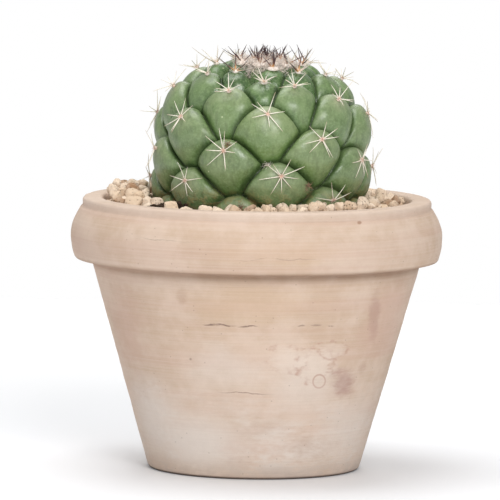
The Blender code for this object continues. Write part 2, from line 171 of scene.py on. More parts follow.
# Soil
SOIL_GAP = 0.4 * MM
SOIL_HOLLOW_RADIUS = 40 * MM
SOIL_HOLLOW_Z = 97 * MM
SOIL_HOLLOW_FLOOR_Z = 70 * MM
SOIL_HOLLOW_FLOOR_RADIUS = 4 * MM
COLLAR_RADIUS = 45 * MM           # the soil rises round the plant here
COLLAR_WIDTH = 5 * MM

# Gravel
PUMICE_TOP_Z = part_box("pumice_layer")[1].z
# number of balls, and their smallest and largest radius
PACKED_BALLS = (150, 2.6 * MM, 4.4 * MM)
TOP_BALLS = (420, 2.0 * MM, 4.6 * MM)
CLODS = (260, 0.8 * MM, 1.9 * MM)
NESTING = 0.92                    # how close the centres of touching balls are, 1 for round hard ones
GRAVEL_INNER_RADIUS = 46.2 * MM
GRAVEL_WALL_GAP = 1.2 * MM
FINE_GRAVEL_Z = 113.0 * MM        # stones that reach above this get the finer shapes
CLOD_TINT = 2.0                   # stones are tinted 0 to 1; the pumice finish turns 2 into soil
MOUND_AZIMUTH = -105              # degrees
BARE_AZIMUTH = -43                # degrees; the soil shows there
STONE_NODES = sorted(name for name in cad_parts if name.startswith("stone_"))


def srgb(red, green, blue):
    """A colour as a painter mixes it, 0 to 255, made linear for the shaders."""
    share = np.array([red, green, blue]) / 255
    linear = np.where(share <= 0.04045, share / 12.92, ((share + 0.055) / 1.055) ** 2.4)
    return (*linear.tolist(), 1.0)


# ---------------------------------------------------------------- surfaces

def grid_faces(rows, columns, join_rows=False):
    """Quads of a grid whose last column joins its first, and if asked also its last row its first."""
    row = np.arange(rows if join_rows else rows - 1)[:, None]
    column = np.arange(columns)[None, :]
    below = (row + 1) % rows
    beside = (column + 1) % columns
    corners = [(row, column), (below, column), (below, beside), (row, beside)]
    return np.stack([one * columns + other for one, other in corners], axis=-1).reshape(-1, 4)


def pole_faces(rows, columns):
    """Triangles that close a grid with a point above its first row and one below its last.

    The two points come after the grid's own.
    """
    column = np.arange(columns)
    beside = (column + 1) % columns
    top = rows * columns
    last = (rows - 1) * columns
    upper = np.stack([np.full(columns, top), column, beside], axis=-1)
    lower = np.stack([last + column, np.full(columns, top + 1), last + beside], axis=-1)
    return np.concatenate([upper, lower])


def closed_faces(rows, columns):
    """Faces of a grid that is closed by a point at each end."""
    return [grid_faces(rows, columns), pole_faces(rows, columns)]


def copies(face_sets, count, points_each):
    """The same faces for each of a number of equal pieces, one after another."""
    shift = np.arange(count)[:, None, None] * points_each
    return [(faces + shift).reshape(-1, faces.shape[1]) for faces in face_sets]


def around(azimuth, radius, height):
    """Points about the pot's axis: (radius sin azimuth, -radius cos azimuth, height)."""
    return np.stack(np.broadcast_arrays(radius * np.sin(azimuth), -radius * np.cos(azimuth), height), axis=-1)


def make_mesh(name, points, face_sets, values=None):
    """A mesh from points, arrays of quads or triangles, and named values on the points."""
    mesh = bpy.data.meshes.new(name)
    corners = np.concatenate([faces.ravel() for faces in face_sets])
    sizes = np.concatenate([np.full(len(faces), faces.shape[1]) for faces in face_sets])
    starts = np.concatenate([[0], np.cumsum(sizes)[:-1]])
    mesh.vertices.add(len(points))
    mesh.vertices.foreach_set("co", np.asarray(points, np.float32).ravel())
    mesh.loops.add(len(corners))
    mesh.loops.foreach_set("vertex_index", corners.astype(np.int32))
    mesh.polygons.add(len(sizes))
    mesh.polygons.foreach_set("loop_start", starts.astype(np.int32))
    for label, column in (values or {}).items():
        layer = mesh.attributes.new(label, "FLOAT", "POINT")
        layer.data.foreach_set("value", np.asarray(column, np.float32).ravel())
    mesh.update(calc_edges=True)
    mesh.validate()
    mesh.shade_smooth()
    return mesh


def place_piece(name, surface, material, slot, *replaced):
    """Puts a surface (points, face sets and values) in the scene, riding on the root body."""
    mesh = make_mesh(name, *surface)
    piece = bpy.data.objects.new(name, mesh)
    bpy.context.scene.collection.objects.link(piece)
    mesh.materials.append(material)
    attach(piece, "root")
    if replaced:
        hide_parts(*replaced)


def waves(points, size, seed, count=14):
    """Slow unevenness, about -1 to 1: a sum of plane waves in random directions, about one size long."""
    chance = np.random.default_rng(seed)
    direction = chance.normal(size=(count, 3))
    direction /= np.linalg.norm(direction, axis=1)[:, None]
    direction /= size * chance.uniform(0.7, 1.6, count)[:, None]
    phase = chance.uniform(0, math.tau, count)
    return np.sin(points @ direction.T * math.tau + phase).sum(axis=-1) / math.sqrt(2 * count)


def unit(vectors):
    return vectors / np.maximum(np.linalg.norm(vectors, axis=-1, keepdims=True), 1e-12)


def tubes(paths, radii, sides, values):
    """Tapering tubes, closed by a point at each end: point = path + radius (A cos t + B sin t).

    A and B are square to the path. paths has one row of points for each tube, and radii matches it.
    Returns points, face sets and the values spread over the points, with "along" from 0 to 1.
    """
    count, steps = radii.shape
    forward = unit(np.gradient(paths, axis=1))
    overall = np.abs(paths[:, -1] - paths[:, 0])
    helper = np.eye(3)[np.argmin(overall, axis=1)][:, None, :]
    first = unit(np.cross(forward, helper))
    second = np.cross(first, forward)
    turn = np.arange(sides) / sides * math.tau
    ring = first[:, :, None, :] * np.cos(turn)[:, None] + second[:, :, None, :] * np.sin(turn)[:, None]
    walls = paths[:, :, None, :] + ring * radii[:, :, None, None]
    ends = np.stack([paths[:, 0] - forward[:, 0] * radii[:, :1] * 0.3,
                     paths[:, -1] + forward[:, -1] * radii[:, -1:]], axis=1)
    points = np.concatenate([walls.reshape(count, -1, 3), ends], axis=1)
    along = np.concatenate([np.repeat(np.linspace(0, 1, steps), sides), [0.0, 1.0]])
    each = points.shape[1]
    spread = {"along": np.tile(along, count)}
    for label, column in values.items():
        spread[label] = np.repeat(column, each)
    return points.reshape(-1, 3), copies(closed_faces(steps, sides), count, each), spread


def joined(parts):
    """Several (points, face sets, values) put together as one."""
    points = np.concatenate([part[0] for part in parts])
    starts = np.cumsum([0] + [len(part[0]) for part in parts[:-1]])
    face_sets = [faces + start for part, start in zip(parts, starts) for faces in part[1]]
    values = {label: np.concatenate([part[2][label] for part in parts]) for label in parts[0][2]}
    return points, face_sets, values


# ---------------------------------------------------------------- shader nodes

def add_node(tree, kind, values=None, **settings):
    """A new node with its settings, and each of its sockets given a number or joined to another socket."""
    made = tree.nodes.new(kind)
    for label, setting in settings.items():
        setattr(made, label, setting)
    for socket, value in (values or {}).items():
        if isinstance(value, bpy.types.NodeSocket):
            tree.links.new(value, made.inputs[socket])
        else:
            made.inputs[socket].default_value = value
    return made


def calculate(tree, operation, first, second=0.0):
    return add_node(tree, "ShaderNodeMath", {0: first, 1: second}, operation=operation).outputs[0]


def product(tree, first, second):
    return calculate(tree, "MULTIPLY", first, second)


def shifted(tree, base, mask, share):
    """base + share * mask"""
    return calculate(tree, "ADD", base, product(tree, mask, share))


def blend_colours(tree, share, first, second, way="MIX"):
    made = add_node(tree, "ShaderNodeMix", {0: share, 6: first, 7: second}, data_type="RGBA", blend_type=way)
    return made.outputs[2]


def glaze(tree, colour, coat, mask, share, way="MIX"):
    """A coat laid over a colour: at its share where the mask is 1, and not at all where it is 0."""
    return blend_colours(tree, product(tree, mask, share), colour, coat, way)


def step_between(tree, value, low, high):
    """0 below low, 1 above high and a smooth step between them; low may be the larger one."""
    made = add_node(tree, "ShaderNodeMapRange", {"Value": value, "From Min": low, "From Max": high},
                    interpolation_type="SMOOTHSTEP")
    return made.outputs[0]


def window(tree, value, start, full, fading, end):
    """1 from full to fading, with a smooth step down to 0 at the start and at the end."""
    return product(tree, step_between(tree, value, start, full), step_between(tree, value, end, fading))


def noise(tree, vector, scale, detail=4.0, roughness=0.5):
    values = {"Vector": vector, "Scale": scale, "Detail": detail, "Roughness": roughness}
    return add_node(tree, "ShaderNodeTexNoise", values).outputs[0]


def stretch(tree, vector, scale, offset=(0, 0, 0), turn=(0, 0, 0)):
    """Scales a coordinate after moving the offset to its origin and turning it."""
    moved = add_node(tree, "ShaderNodeVectorMath", {0: vector, 1: offset}, operation="SUBTRACT").outputs[0]
    return add_node(tree, "ShaderNodeMapping", {"Vector": moved, "Scale": scale, "Rotation": turn}).outputs[0]


def attribute(tree, label):
    return add_node(tree, "ShaderNodeAttribute", attribute_name=label).outputs["Fac"]


def length_of(tree, vector):
    return add_node(tree, "ShaderNodeVectorMath", {0: vector}, operation="LENGTH").outputs["Value"]


def new_group(name, inputs, outputs):
    """An empty shader group with named sockets: its tree, its input node's and its output node's sockets."""
    group = bpy.data.node_groups.new(name, "ShaderNodeTree")
    for label, kind, value in inputs:
        socket = group.interface.new_socket(label, in_out="INPUT", socket_type="NodeSocket" + kind)
        if kind != "Vector":
            socket.default_value = value
    for label, kind in outputs:
        group.interface.new_socket(label, in_out="OUTPUT", socket_type="NodeSocket" + kind)
    return group, add_node(group, "NodeGroupInput").outputs, add_node(group, "NodeGroupOutput").inputs


def make_mottle_group():
    """Cloudy patches: two sizes of noise with a smooth step round the middle, wider where it is softer."""
    group, given, result = new_group("mottle", [("Vector", "Vector", None), ("Scale", "Float", 40.0),
                                                ("Softness", "Float", 0.3)], [("Mask", "Float")])
    broad = noise(group, given["Vector"], given["Scale"], detail=5.0, roughness=0.6)
    fine = noise(group, given["Vector"], product(group, given["Scale"], 5.3), detail=3.0)
    both = shifted(group, product(group, broad, 0.72), fine, 0.28)
    low = shifted(group, 0.45, given["Softness"], -0.3)
    high = calculate(group, "SUBTRACT", 1.0, low)
    group.links.new(step_between(group, both, low, high), result["Mask"])
    return group


def make_grain_group():
    """Sandy grain: fine noise with a coarser one under it, as a height from 0 to 1."""
    group, given, result = new_group("grain", [("Vector", "Vector", None), ("Scale", "Float", 1500.0),
                                               ("Coarse Share", "Float", 0.5)], [("Height", "Float")])
    fine = noise(group, given["Vector"], given["Scale"], detail=3.0, roughness=0.7)
    coarse = noise(group, given["Vector"], product(group, given["Scale"], 0.21), detail=2.0)
    both = add_node(group, "ShaderNodeMix", {0: given["Coarse Share"], 2: fine, 3: coarse}).outputs[0]
    group.links.new(both, result["Height"])
    return group


def make_speck_group():
    """Scattered round specks: cells whose centre is near, kept only where the cell's own number is low."""
    group, given, result = new_group("specks", [("Vector", "Vector", None), ("Scale", "Float", 300.0),
                                                ("Radius", "Float", 0.2), ("Share", "Float", 0.2)],
                                     [("Mask", "Float")])
    cells = add_node(group, "ShaderNodeTexVoronoi", {"Vector": given["Vector"], "Scale": given["Scale"]})
    near = step_between(group, cells.outputs["Distance"], given["Radius"],
                        product(group, given["Radius"], 0.5))
    number = add_node(group, "ShaderNodeSeparateColor", {0: cells.outputs["Color"]}).outputs[0]
    kept = calculate(group, "LESS_THAN", number, given["Share"])
    group.links.new(product(group, near, kept), result["Mask"])
    return group


GROUPS = {"mottle": make_mottle_group(), "grain": make_grain_group(), "specks": make_speck_group()}


def use_group(tree, name, *values):
    """A group placed in a material, its inputs given in their order: vector, scale and the group's own."""
    return add_node(tree, "ShaderNodeGroup", dict(enumerate(values)), node_tree=GROUPS[name]).outputs[0]


def new_material(name, **constants):
    """A material's tree, its shader and its object coordinates, with the shader's constant sockets set."""
    material = bpy.data.materials.new(name)
    material.use_nodes = True
    tree = material.node_tree
    shader = tree.nodes["Principled BSDF"]
    for label, value in constants.items():
        shader.inputs[label.replace("_", " ")].default_value = value
    place = add_node(tree, "ShaderNodeTexCoord").outputs["Object"]
    return material, tree, shader, place


def finish_material(tree, shader, colour, roughness, heights):
    """Joins colour and roughness to the shader, and each (height, distance, strength) bump to the last."""
    tree.links.new(colour, shader.inputs["Base Color"])
    tree.links.new(roughness, shader.inputs["Roughness"])
    normal = None
    for height, distance, strength in heights:
        values = {"Height": height, "Distance": distance, "Strength": strength}
        if normal is not None:
            values["Normal"] = normal
        normal = add_node(tree, "ShaderNodeBump", values).outputs[0]
    tree.links.new(normal, shader.inputs["Normal"])


# ---------------------------------------------------------------- finishes

def make_clay():
    """Washed pale clay: turning lines, sandy grain, chalky salts, a few stains and scratches, and painted
    shadow under the rim band and along the bottom where it meets the floor.
    """
    material, tree, shader, place = new_material("washed_clay", Specular_IOR_Level=0.25)
    height = add_node(tree, "ShaderNodeSeparateXYZ", {0: place}).outputs["Z"]
    lines = noise(tree, stretch(tree, place, (9, 9, 1500)), 1.0, detail=3.0, roughness=0.65)
    bands = noise(tree, stretch(tree, place, (5, 5, 160)), 1.0, detail=3.0, roughness=0.6)
    clouds = use_group(tree, "mottle", place, 28.0, 0.2)
    wisps = use_group(tree, "mottle", stretch(tree, place, (1, 1, 2.6)), 60.0, 0.6)
    sand = use_group(tree, "grain", place, 1700.0, 0.45)
    dots = use_group(tree, "specks", place, 420.0, 0.16, 0.16)
    flaws = noise(tree, place, 260.0, detail=3.0)

    colour = blend_colours(tree, clouds, CLAY_WARM, CLAY_PALE)
    colour = glaze(tree, colour, CLAY_ROSE, step_between(tree, bands, 0.42, 0.62), 0.35)
    colour = glaze(tree, colour, CLAY_CHALK, step_between(tree, lines, 0.35, 0.7), 0.22)

    def distance(where, azimuth, radius, level, size, turn):
        """How far a point is from a mark's centre, 1 at the mark's edge."""
        scale = tuple(1 / (half * MM) for half in size)
        centre = around(math.radians(azimuth), radius * MM, level * MM).tolist()
        return length_of(tree, stretch(tree, where, scale, offset=centre, turn=(0, turn, 0)))

    uneven = product(tree, calculate(tree, "SUBTRACT", wisps, 0.5), 0.7)
    for *spot, share, stain in CLAY_STAINS:
        ragged = calculate(tree, "ADD", distance(place, *spot), uneven)
        colour = glaze(tree, colour, stain, step_between(tree, ragged, 1.25, 0.35), share)
        if stain == CLAY_CHALK:
            line = window(tree, ragged, 0.80, 1.02, 1.04, 1.26)
            line = product(tree, line, step_between(tree, flaws, 0.40, 0.62))
            colour = glaze(tree, colour, CLAY_OUTLINE, line, 0.50)
    ring = window(tree, distance(place, *CLAY_RING), 0.80, 0.94, 1.06, 1.20)
    colour = glaze(tree, colour, CLAY_OUTLINE, ring, 0.6)

    low = product(tree, step_between(tree, height, 60 * MM, 6 * MM), wisps)
    colour = glaze(tree, colour, CLAY_SALT, low, 0.95)
    colour = glaze(tree, colour, CLAY_CHALK, step_between(tree, height, 110 * MM, 115.5 * MM), 0.35)
    # darker towards the foot in ragged patches, multiplied with the same tone as the painted shadow under the
    # band
    foot = product(tree, step_between(tree, height, 10 * MM, 0.5 * MM), wisps)
    colour = glaze(tree, colour, CLAY_SHADE_TONE, foot, 0.7, "MULTIPLY")
    # painted shadow: a thin dark line along the very bottom, where the pot stands on the floor
    colour = glaze(tree, colour, CLAY_CONTACT_SHADOW, step_between(tree, height, 1.4 * MM, 0.4 * MM), 0.8)
    # painted shadow: a narrow darker band just under the rim band, where its underside shades the body
    under_band_shadow = window(tree, height, 85 * MM, 89.3 * MM, 89.6 * MM, 91.8 * MM)
    colour = glaze(tree, colour, CLAY_SHADE_TONE, under_band_shadow, 0.75, "MULTIPLY")
    colour = glaze(tree, colour, CLAY_DARK, dots, 0.35)
    marks = 0.0
    wave = product(tree, calculate(tree, "SUBTRACT", noise(tree, place, 90.0), 0.5), 4.5 * MM)
    shift = add_node(tree, "ShaderNodeCombineXYZ", {"Z": wave}).outputs[0]
    wavy = add_node(tree, "ShaderNodeVectorMath", {0: place, 1: shift}, operation="ADD").outputs[0]
    for *spot, depth in CLAY_SCRATCHES:
        mark = product(tree, step_between(tree, distance(wavy, *spot), 1.0, 0.4), depth)
        marks = calculate(tree, "MAXIMUM", marks, mark)
    broken = product(tree, marks, step_between(tree, flaws, 0.35, 0.55))
    colour = glaze(tree, colour, CLAY_DARK, broken, 0.8)
    colour = glaze(tree, colour, CLAY_DARK, sand, 0.16, "MULTIPLY")

    finish_material(tree, shader, colour, shifted(tree, 0.78, sand, 0.2),
                    [(lines, 0.35 * MM, 0.45), (sand, 0.25 * MM, 0.55),
                     (calculate(tree, "SUBTRACT", 1.0, broken), 0.3 * MM, 0.6)])
    return material


CLAY_PALE = srgb(209, 187, 169)
CLAY_WARM = srgb(196, 171, 149)
CLAY_ROSE = srgb(199, 168, 151)
CLAY_CHALK = srgb(220, 204, 190)
CLAY_SALT = srgb(216, 206, 197)
CLAY_TAN = srgb(203, 176, 147)
CLAY_DARK = srgb(122, 102, 92)
# tone multiplied in for the painted shadow under the band and for the darkening towards the foot
CLAY_SHADE_TONE = srgb(196, 180, 168)
CLAY_BROWN = srgb(150, 112, 88)
CLAY_OUTLINE = srgb(176, 138, 122)
CLAY_SMUDGE = srgb(168, 134, 122)
CLAY_GREY = srgb(186, 166, 152)
# colour of the painted contact shadow along the bottom
CLAY_CONTACT_SHADOW = srgb(66, 52, 45)
# Each mark begins with the azimuth, radius and height of its centre, its half sizes across, through and up
# (mm) and its turn. A stain goes on with its share and colour; the chalky ones have a thin darker outline.
CLAY_STAINS = [
    (-30, 60, 14, (26, 22, 13), 0.0, 0.80, CLAY_SALT), (-54, 62, 22, (18, 22, 20), 0.20, 0.75, CLAY_SALT),
    (0, 66, 76, (30, 20, 9), 0.0, 0.35, CLAY_TAN), (-58, 68, 62, (12, 20, 26), 0.10, 0.55, CLAY_ROSE),
    (60, 66, 66, (12, 20, 22), -0.10, 0.50, CLAY_ROSE), (22, 62, 44, (17, 20, 14), 0.0, 0.40, CLAY_SALT),
    (13, 63, 53, (10, 20, 5.5), 0.15, 0.60, CLAY_CHALK), (24, 63, 51, (8, 20, 7.5), -0.45, 0.60, CLAY_CHALK),
    (31, 63, 57, (6, 20, 4), 0.3, 0.45, CLAY_CHALK), (-12, 62, 49, (19, 20, 10), 0.05, 0.35, CLAY_SALT),
    (40, 59, 42, (6.5, 12, 7.5), 0.5, 0.75, CLAY_SMUDGE), (47, 63, 47, (3, 12, 4), 0.0, 0.35, CLAY_SMUDGE),
    (50, 66, 70, (2.6, 9, 13), 0.20, 0.42, CLAY_SMUDGE), (46, 66, 62, (5.0, 9, 6), 0.5, 0.30, CLAY_ROSE),
    (-28, 66, 79, (2.6, 9, 4.5), -0.2, 0.22, CLAY_BROWN), (8, 60, 12, (30, 20, 8), 0.0, 0.40, CLAY_ROSE),
    (26, 60, 12, (17, 20, 7), 0.15, 0.55, CLAY_GREY), (5, 60, 22, (13, 20, 6), -0.10, 0.35, CLAY_GREY),
    (-8, 60, 7, (9, 20, 4), 0.0, 0.40, CLAY_GREY),
    (50, 60, 20, (16, 22, 14), -0.20, 0.40, CLAY_SALT), (140, 62, 60, (22, 20, 16), 0.0, 0.45, CLAY_CHALK),
    (-125, 58, 38, (18, 20, 12), 0.30, 0.45, CLAY_SALT), (180, 60, 22, (26, 20, 14), 0.0, 0.45, CLAY_SALT),
    (-26, 62, 52, (0.8, 6, 0.8), 0.0, 0.8, CLAY_DARK), (34, 77, 111.6, (0.9, 8, 0.7), 0.2, 0.8, CLAY_BROWN),
    (-75, 79, 100, (9, 12, 7), 0.0, 0.30, CLAY_ROSE), (10, 79, 99, (34, 12, 6), 0.0, 0.30, CLAY_TAN),
]
CLAY_RING = (28, 58, 43, (2.6, 20, 2.9), 0.0)
# A scratch goes on with its depth.
CLAY_SCRATCHES = [
    (-14, 66, 67.4, (9.5, 8, 0.60), 0.03, 1.0), (-3, 66, 66.9, (5.5, 8, 0.45), -0.05, 0.9),
    (17, 66, 67.2, (2.2, 8, 0.50), 0.0, 0.6), (23, 66, 67.3, (3.2, 8, 0.60), 0.04, 0.6),
    (29, 66, 67.0, (2.0, 8, 0.45), -0.04, 0.6), (-5, 60, 38.2, (19, 9, 0.42), 0.01, 0.7),
    (150, 62, 58.0, (14, 8, 0.50), 0.03, 0.7), (-100, 63, 70.0, (8, 10, 0.50), 0.0, 0.6),
    (8, 79, 97.0, (26, 10, 0.30), 0.0, 0.35), (-30, 79, 103.5, (20, 12, 0.28), 0.01, 0.30),
]


def make_skin():
    """Waxy skin: green that brightens on the young, greyed by bloom near the areoles, corky at the base, with
    painted shade in the creases between tubercles.
    """
    material, tree, shader, place = new_material("cactus_skin", Specular_IOR_Level=0.65)
    height = add_node(tree, "ShaderNodeSeparateXYZ", {0: place}).outputs["Z"]
    clouds = use_group(tree, "mottle", place, 75.0, 0.35)
    flecks = use_group(tree, "mottle", place, 260.0, 0.5)
    pores = use_group(tree, "grain", place, 2400.0, 0.35)
    dots = use_group(tree, "specks", place, 190.0, 0.10, 0.14)
    young = attribute(tree, "young")
    edge = attribute(tree, "edge")
    near = attribute(tree, "near_areole")
    down = attribute(tree, "down")
    tint = attribute(tree, "tint")

    colour = blend_colours(tree, clouds, SKIN_GREEN, SKIN_LEAF)
    colour = glaze(tree, colour, SKIN_OLIVE, step_between(tree, down, 0.0, 0.8), 0.5)
    colour = glaze(tree, colour, SKIN_BLUE, tint, 0.5)
    bloom = shifted(tree, product(tree, near, 0.65), step_between(tree, edge, 0.25, 0.85), 0.28)
    bloom = product(tree, bloom, shifted(tree, 0.35, clouds, 0.65))
    bloom = product(tree, bloom, shifted(tree, 1.0, young, -0.8))
    colour = blend_colours(tree, bloom, colour, SKIN_BLOOM)
    colour = glaze(tree, colour, blend_colours(tree, clouds, SKIN_YOUNG_DARK, SKIN_YOUNG), young, 0.85)
    colour = glaze(tree, colour, SKIN_PALE, flecks, 0.26)
    fine = step_between(tree, noise(tree, place, 1100.0), 0.42, 0.72)
    colour = glaze(tree, colour, SKIN_PALE, fine, 0.30)
    streaks = noise(tree, stretch(tree, place, (1, 1, 0.3)), 420.0, detail=2.0)
    # darker streaks in the skin itself
    colour = glaze(tree, colour, SKIN_SHADE_AND_STREAKS, step_between(tree, streaks, 0.5, 0.7), 0.25, "MULTIPLY")
    # painted shade: the skin darkens broadly towards the creases between tubercles, and a thin painted shadow
    # lies along each crease
    colour = glaze(tree, colour, SKIN_SHADE_AND_STREAKS, step_between(tree, edge, 0.45, 0.0), 0.75, "MULTIPLY")
    colour = glaze(tree, colour, SKIN_CREASE_SHADOW, step_between(tree, edge, 0.09, 0.0), 0.8)
    corky = step_between(tree, height, 126.5 * MM, 115 * MM)
    corky = product(tree, corky, step_between(tree, flecks, 0.35, 0.75))
    colour = glaze(tree, colour, SKIN_CORK, corky, 0.5)
    colour = glaze(tree, colour, SKIN_DOT, dots, 0.7)

    roughness = shifted(tree, shifted(tree, 0.30, clouds, 0.12), young, -0.10)
    finish_material(tree, shader, colour, shifted(tree, roughness, corky, 0.4),
                    [(flecks, 0.25 * MM, 0.25), (pores, 0.08 * MM, 0.35), (corky, 0.4 * MM, 0.5)])
    return material


SKIN_GREEN = srgb(76, 102, 46)
SKIN_LEAF = srgb(106, 128, 70)
SKIN_OLIVE = srgb(80, 120, 44)
SKIN_BLUE = srgb(72, 100, 60)
SKIN_BLOOM = srgb(154, 160, 128)
SKIN_YOUNG = srgb(64, 104, 36)
SKIN_YOUNG_DARK = srgb(28, 62, 26)
SKIN_PALE = srgb(150, 172, 124)
SKIN_SHADE_AND_STREAKS = srgb(96, 116, 78)
SKIN_CREASE_SHADOW = srgb(30, 44, 20)
SKIN_CORK = srgb(150, 116, 66)
SKIN_DOT = srgb(196, 206, 164)


def make_pumice():
    """Rough beige pumice: each stone its own tint, pitted with small holes darkened by painted shade, and
    dusted paler.
    """
    material, tree, shader, place = new_material("pumice_stone", Specular_IOR_Level=0.2)
    tint = attribute(tree, "tint")
    patches = use_group(tree, "mottle", place, 210.0, 0.4)
    grit = use_group(tree, "grain", place, 2600.0, 0.5)
    holes = use_group(tree, "specks", place, 900.0, 0.34, 0.42)
    colour = blend_colours(tree, step_between(tree, tint, 0.25, 0.9), STONE_CREAM, STONE_TAN)
    colour = blend_colours(tree, step_between(tree, tint, 0.86, 0.97), colour, STONE_BROWN)
    colour = glaze(tree, colour, STONE_DUST, patches, 0.45)
    # painted shade in the pits of each stone; the grain is darkened a little with the same colour
    colour = glaze(tree, colour, STONE_PIT_SHADE_AND_GRIT, holes, 0.5)
    colour = glaze(tree, colour, STONE_PIT_SHADE_AND_GRIT, grit, 0.25, "MULTIPLY")
    soily = blend_colours(tree, patches, SOIL_DARK, SOIL_BROWN)
    colour = blend_colours(tree, step_between(tree, tint, 1.2, 1.6), colour, soily)
    roughness = shifted(tree, 0.8, grit, 0.18)
    finish_material(tree, shader, colour, roughness,
                    [(patches, 0.9 * MM, 0.5), (calculate(tree, "SUBTRACT", 1.0, holes), 0.45 * MM, 0.8),
                     (grit, 0.3 * MM, 0.7)])
    return material


STONE_CREAM = srgb(240, 219, 196)
STONE_TAN = srgb(224, 197, 168)
STONE_BROWN = srgb(170, 132, 100)
STONE_DUST = srgb(232, 214, 194)
STONE_PIT_SHADE_AND_GRIT = srgb(112, 84, 62)


def make_soil_finish():
    """Dark damp potting mix with lighter fibres and grit."""
    material, tree, shader, place = new_material("potting_mix", Specular_IOR_Level=0.3)
    crumbs = use_group(tree, "mottle", place, 420.0, 0.6)
    grit = use_group(tree, "grain", place, 1800.0, 0.5)
    dots = use_group(tree, "specks", place, 520.0, 0.25, 0.18)
    colour = blend_colours(tree, crumbs, SOIL_DARK, SOIL_BROWN)
    colour = glaze(tree, colour, SOIL_FIBRE, dots, 0.5)
    roughness = shifted(tree, 0.8, grit, 0.2)
    finish_material(tree, shader, colour, roughness, [(crumbs, 1.2 * MM, 0.7), (grit, 0.4 * MM, 0.7)])
    return material


SOIL_DARK = srgb(34, 26, 20)
SOIL_BROWN = srgb(66, 50, 38)
SOIL_FIBRE = srgb(128, 98, 68)


def make_wool_finish():
    """Felted wool: cream, a little pink where it is old, with fine strands."""
    material, tree, shader, place = new_material("areole_wool", Specular_IOR_Level=0.15, Sheen_Weight=0.3)
    old = attribute(tree, "old")
    strands = use_group(tree, "grain", place, 5200.0, 0.4)
    clumps = use_group(tree, "mottle", place, 700.0, 0.4)
    colour = blend_colours(tree, clumps, WOOL_SHADE, WOOL_WHITE)
    colour = glaze(tree, colour, WOOL_OLD, step_between(tree, old, 0.0, 1.0), 0.8)
    colour = blend_colours(tree, step_between(tree, old, 1.2, 2.2), colour, WOOL_BROWN)
    colour = glaze(tree, colour, WOOL_SHADE, strands, 0.1, "MULTIPLY")
    roughness = shifted(tree, 0.82, strands, 0.15)
    finish_material(tree, shader, colour, roughness, [(clumps, 0.4 * MM, 0.5), (strands, 0.15 * MM, 0.6)])
    return material


WOOL_WHITE = srgb(252, 244, 235)
WOOL_SHADE = srgb(241, 224, 211)
WOOL_OLD = srgb(224, 196, 178)
WOOL_BROWN = srgb(150, 104, 64)


def make_spine_finish():
    """Horny spines: a rosy foot, ivory to the tip; the young go from amber through chestnut to near black."""
    material, tree, shader, place = new_material("spine_horn", Specular_IOR_Level=0.45)
    along = attribute(tree, "along")
    young = attribute(tree, "young")
    tint = attribute(tree, "tint")
    rings = noise(tree, place, 1400.0, detail=3.0)
    grown = blend_colours(tree, step_between(tree, along, 0.0, 0.20), SPINE_FOOT, SPINE_IVORY)
    grown = glaze(tree, grown, SPINE_TAN, step_between(tree, along, 0.55, 1.0), tint)
    fresh = blend_colours(tree, step_between(tree, along, 0.10, 0.38), SPINE_AMBER, SPINE_CHESTNUT)
    fresh = blend_colours(tree, step_between(tree, along, 0.30, 0.60), fresh, SPINE_BLACK)
    colour = blend_colours(tree, young, grown, fresh)
    colour = glaze(tree, colour, SPINE_TAN, rings, 0.25, "MULTIPLY")
    roughness = shifted(tree, 0.38, rings, 0.25)
    finish_material(tree, shader, colour, roughness, [(rings, 0.08 * MM, 0.4)])
    return material


SPINE_IVORY = srgb(242, 236, 222)
SPINE_FOOT = srgb(226, 184, 164)
SPINE_TAN = srgb(200, 178, 150)
SPINE_AMBER = srgb(222, 164, 96)
SPINE_CHESTNUT = srgb(118, 78, 70)
SPINE_BLACK = srgb(66, 46, 50)


# ---------------------------------------------------------------- pot

def band_radius(height):
    """The rim band: a parabola on each side of its widest line."""
    rise = height - BAND_WIDEST_Z
    return RIM_RADIUS - np.where(rise > 0, SWELL_ABOVE, SWELL_BELOW) * rise * rise


def body_radius(height):
    """The body: a straight taper from the neck to the foot."""
    slope = (NECK_RADIUS - FOOT_RADIUS) / (NECK_Z - FOOT_ROUNDING)
    return FOOT_RADIUS + slope * (height - FOOT_ROUNDING)


def rounded(corners, steps=5):
    """A closed outline with each corner (radius, height, rounding) turned on an arc of that rounding."""
    places = np.array([corner[:2] for corner in corners])
    outline = []
    for index, (radius, height, rounding) in enumerate(corners):
        here = places[index]
        if rounding == 0.0:
            outline.append(here)
            continue
        back = unit(places[index - 1] - here)
        ahead = unit(places[(index + 1) % len(places)] - here)
        half = 0.5 * math.acos(float(np.clip(back @ ahead, -1, 1)))
        centre = here + unit(back + ahead) * rounding / math.sin(half)
        start, end = here + back * rounding / math.tan(half), here + ahead * rounding / math.tan(half)
        share = np.linspace(0, 1, steps)[:, None]
        chord = start + (end - start) * share
        outline.extend(centre + unit(chord - centre) * rounding)
    return np.array(outline)


def evenly(outline, spacing, samples=6000):
    """POT_ROWS points along a closed outline, closer where spacing (a function of the point) is small."""
    ring = np.concatenate([outline, outline[:1]])
    length = np.concatenate([[0], np.cumsum(np.linalg.norm(np.diff(ring, axis=0), axis=1))])
    fine = np.linspace(0, length[-1], samples)
    points = np.stack([np.interp(fine, length, ring[:, k]) for k in range(2)], axis=1)
    weight = np.concatenate([[0], np.cumsum(1 / spacing(points[1:]))])
    chosen = np.interp(np.arange(POT_ROWS) / POT_ROWS * weight[-1], weight, fine)
    return np.stack([np.interp(chosen, fine, points[:, k]) for k in range(2)], axis=1)


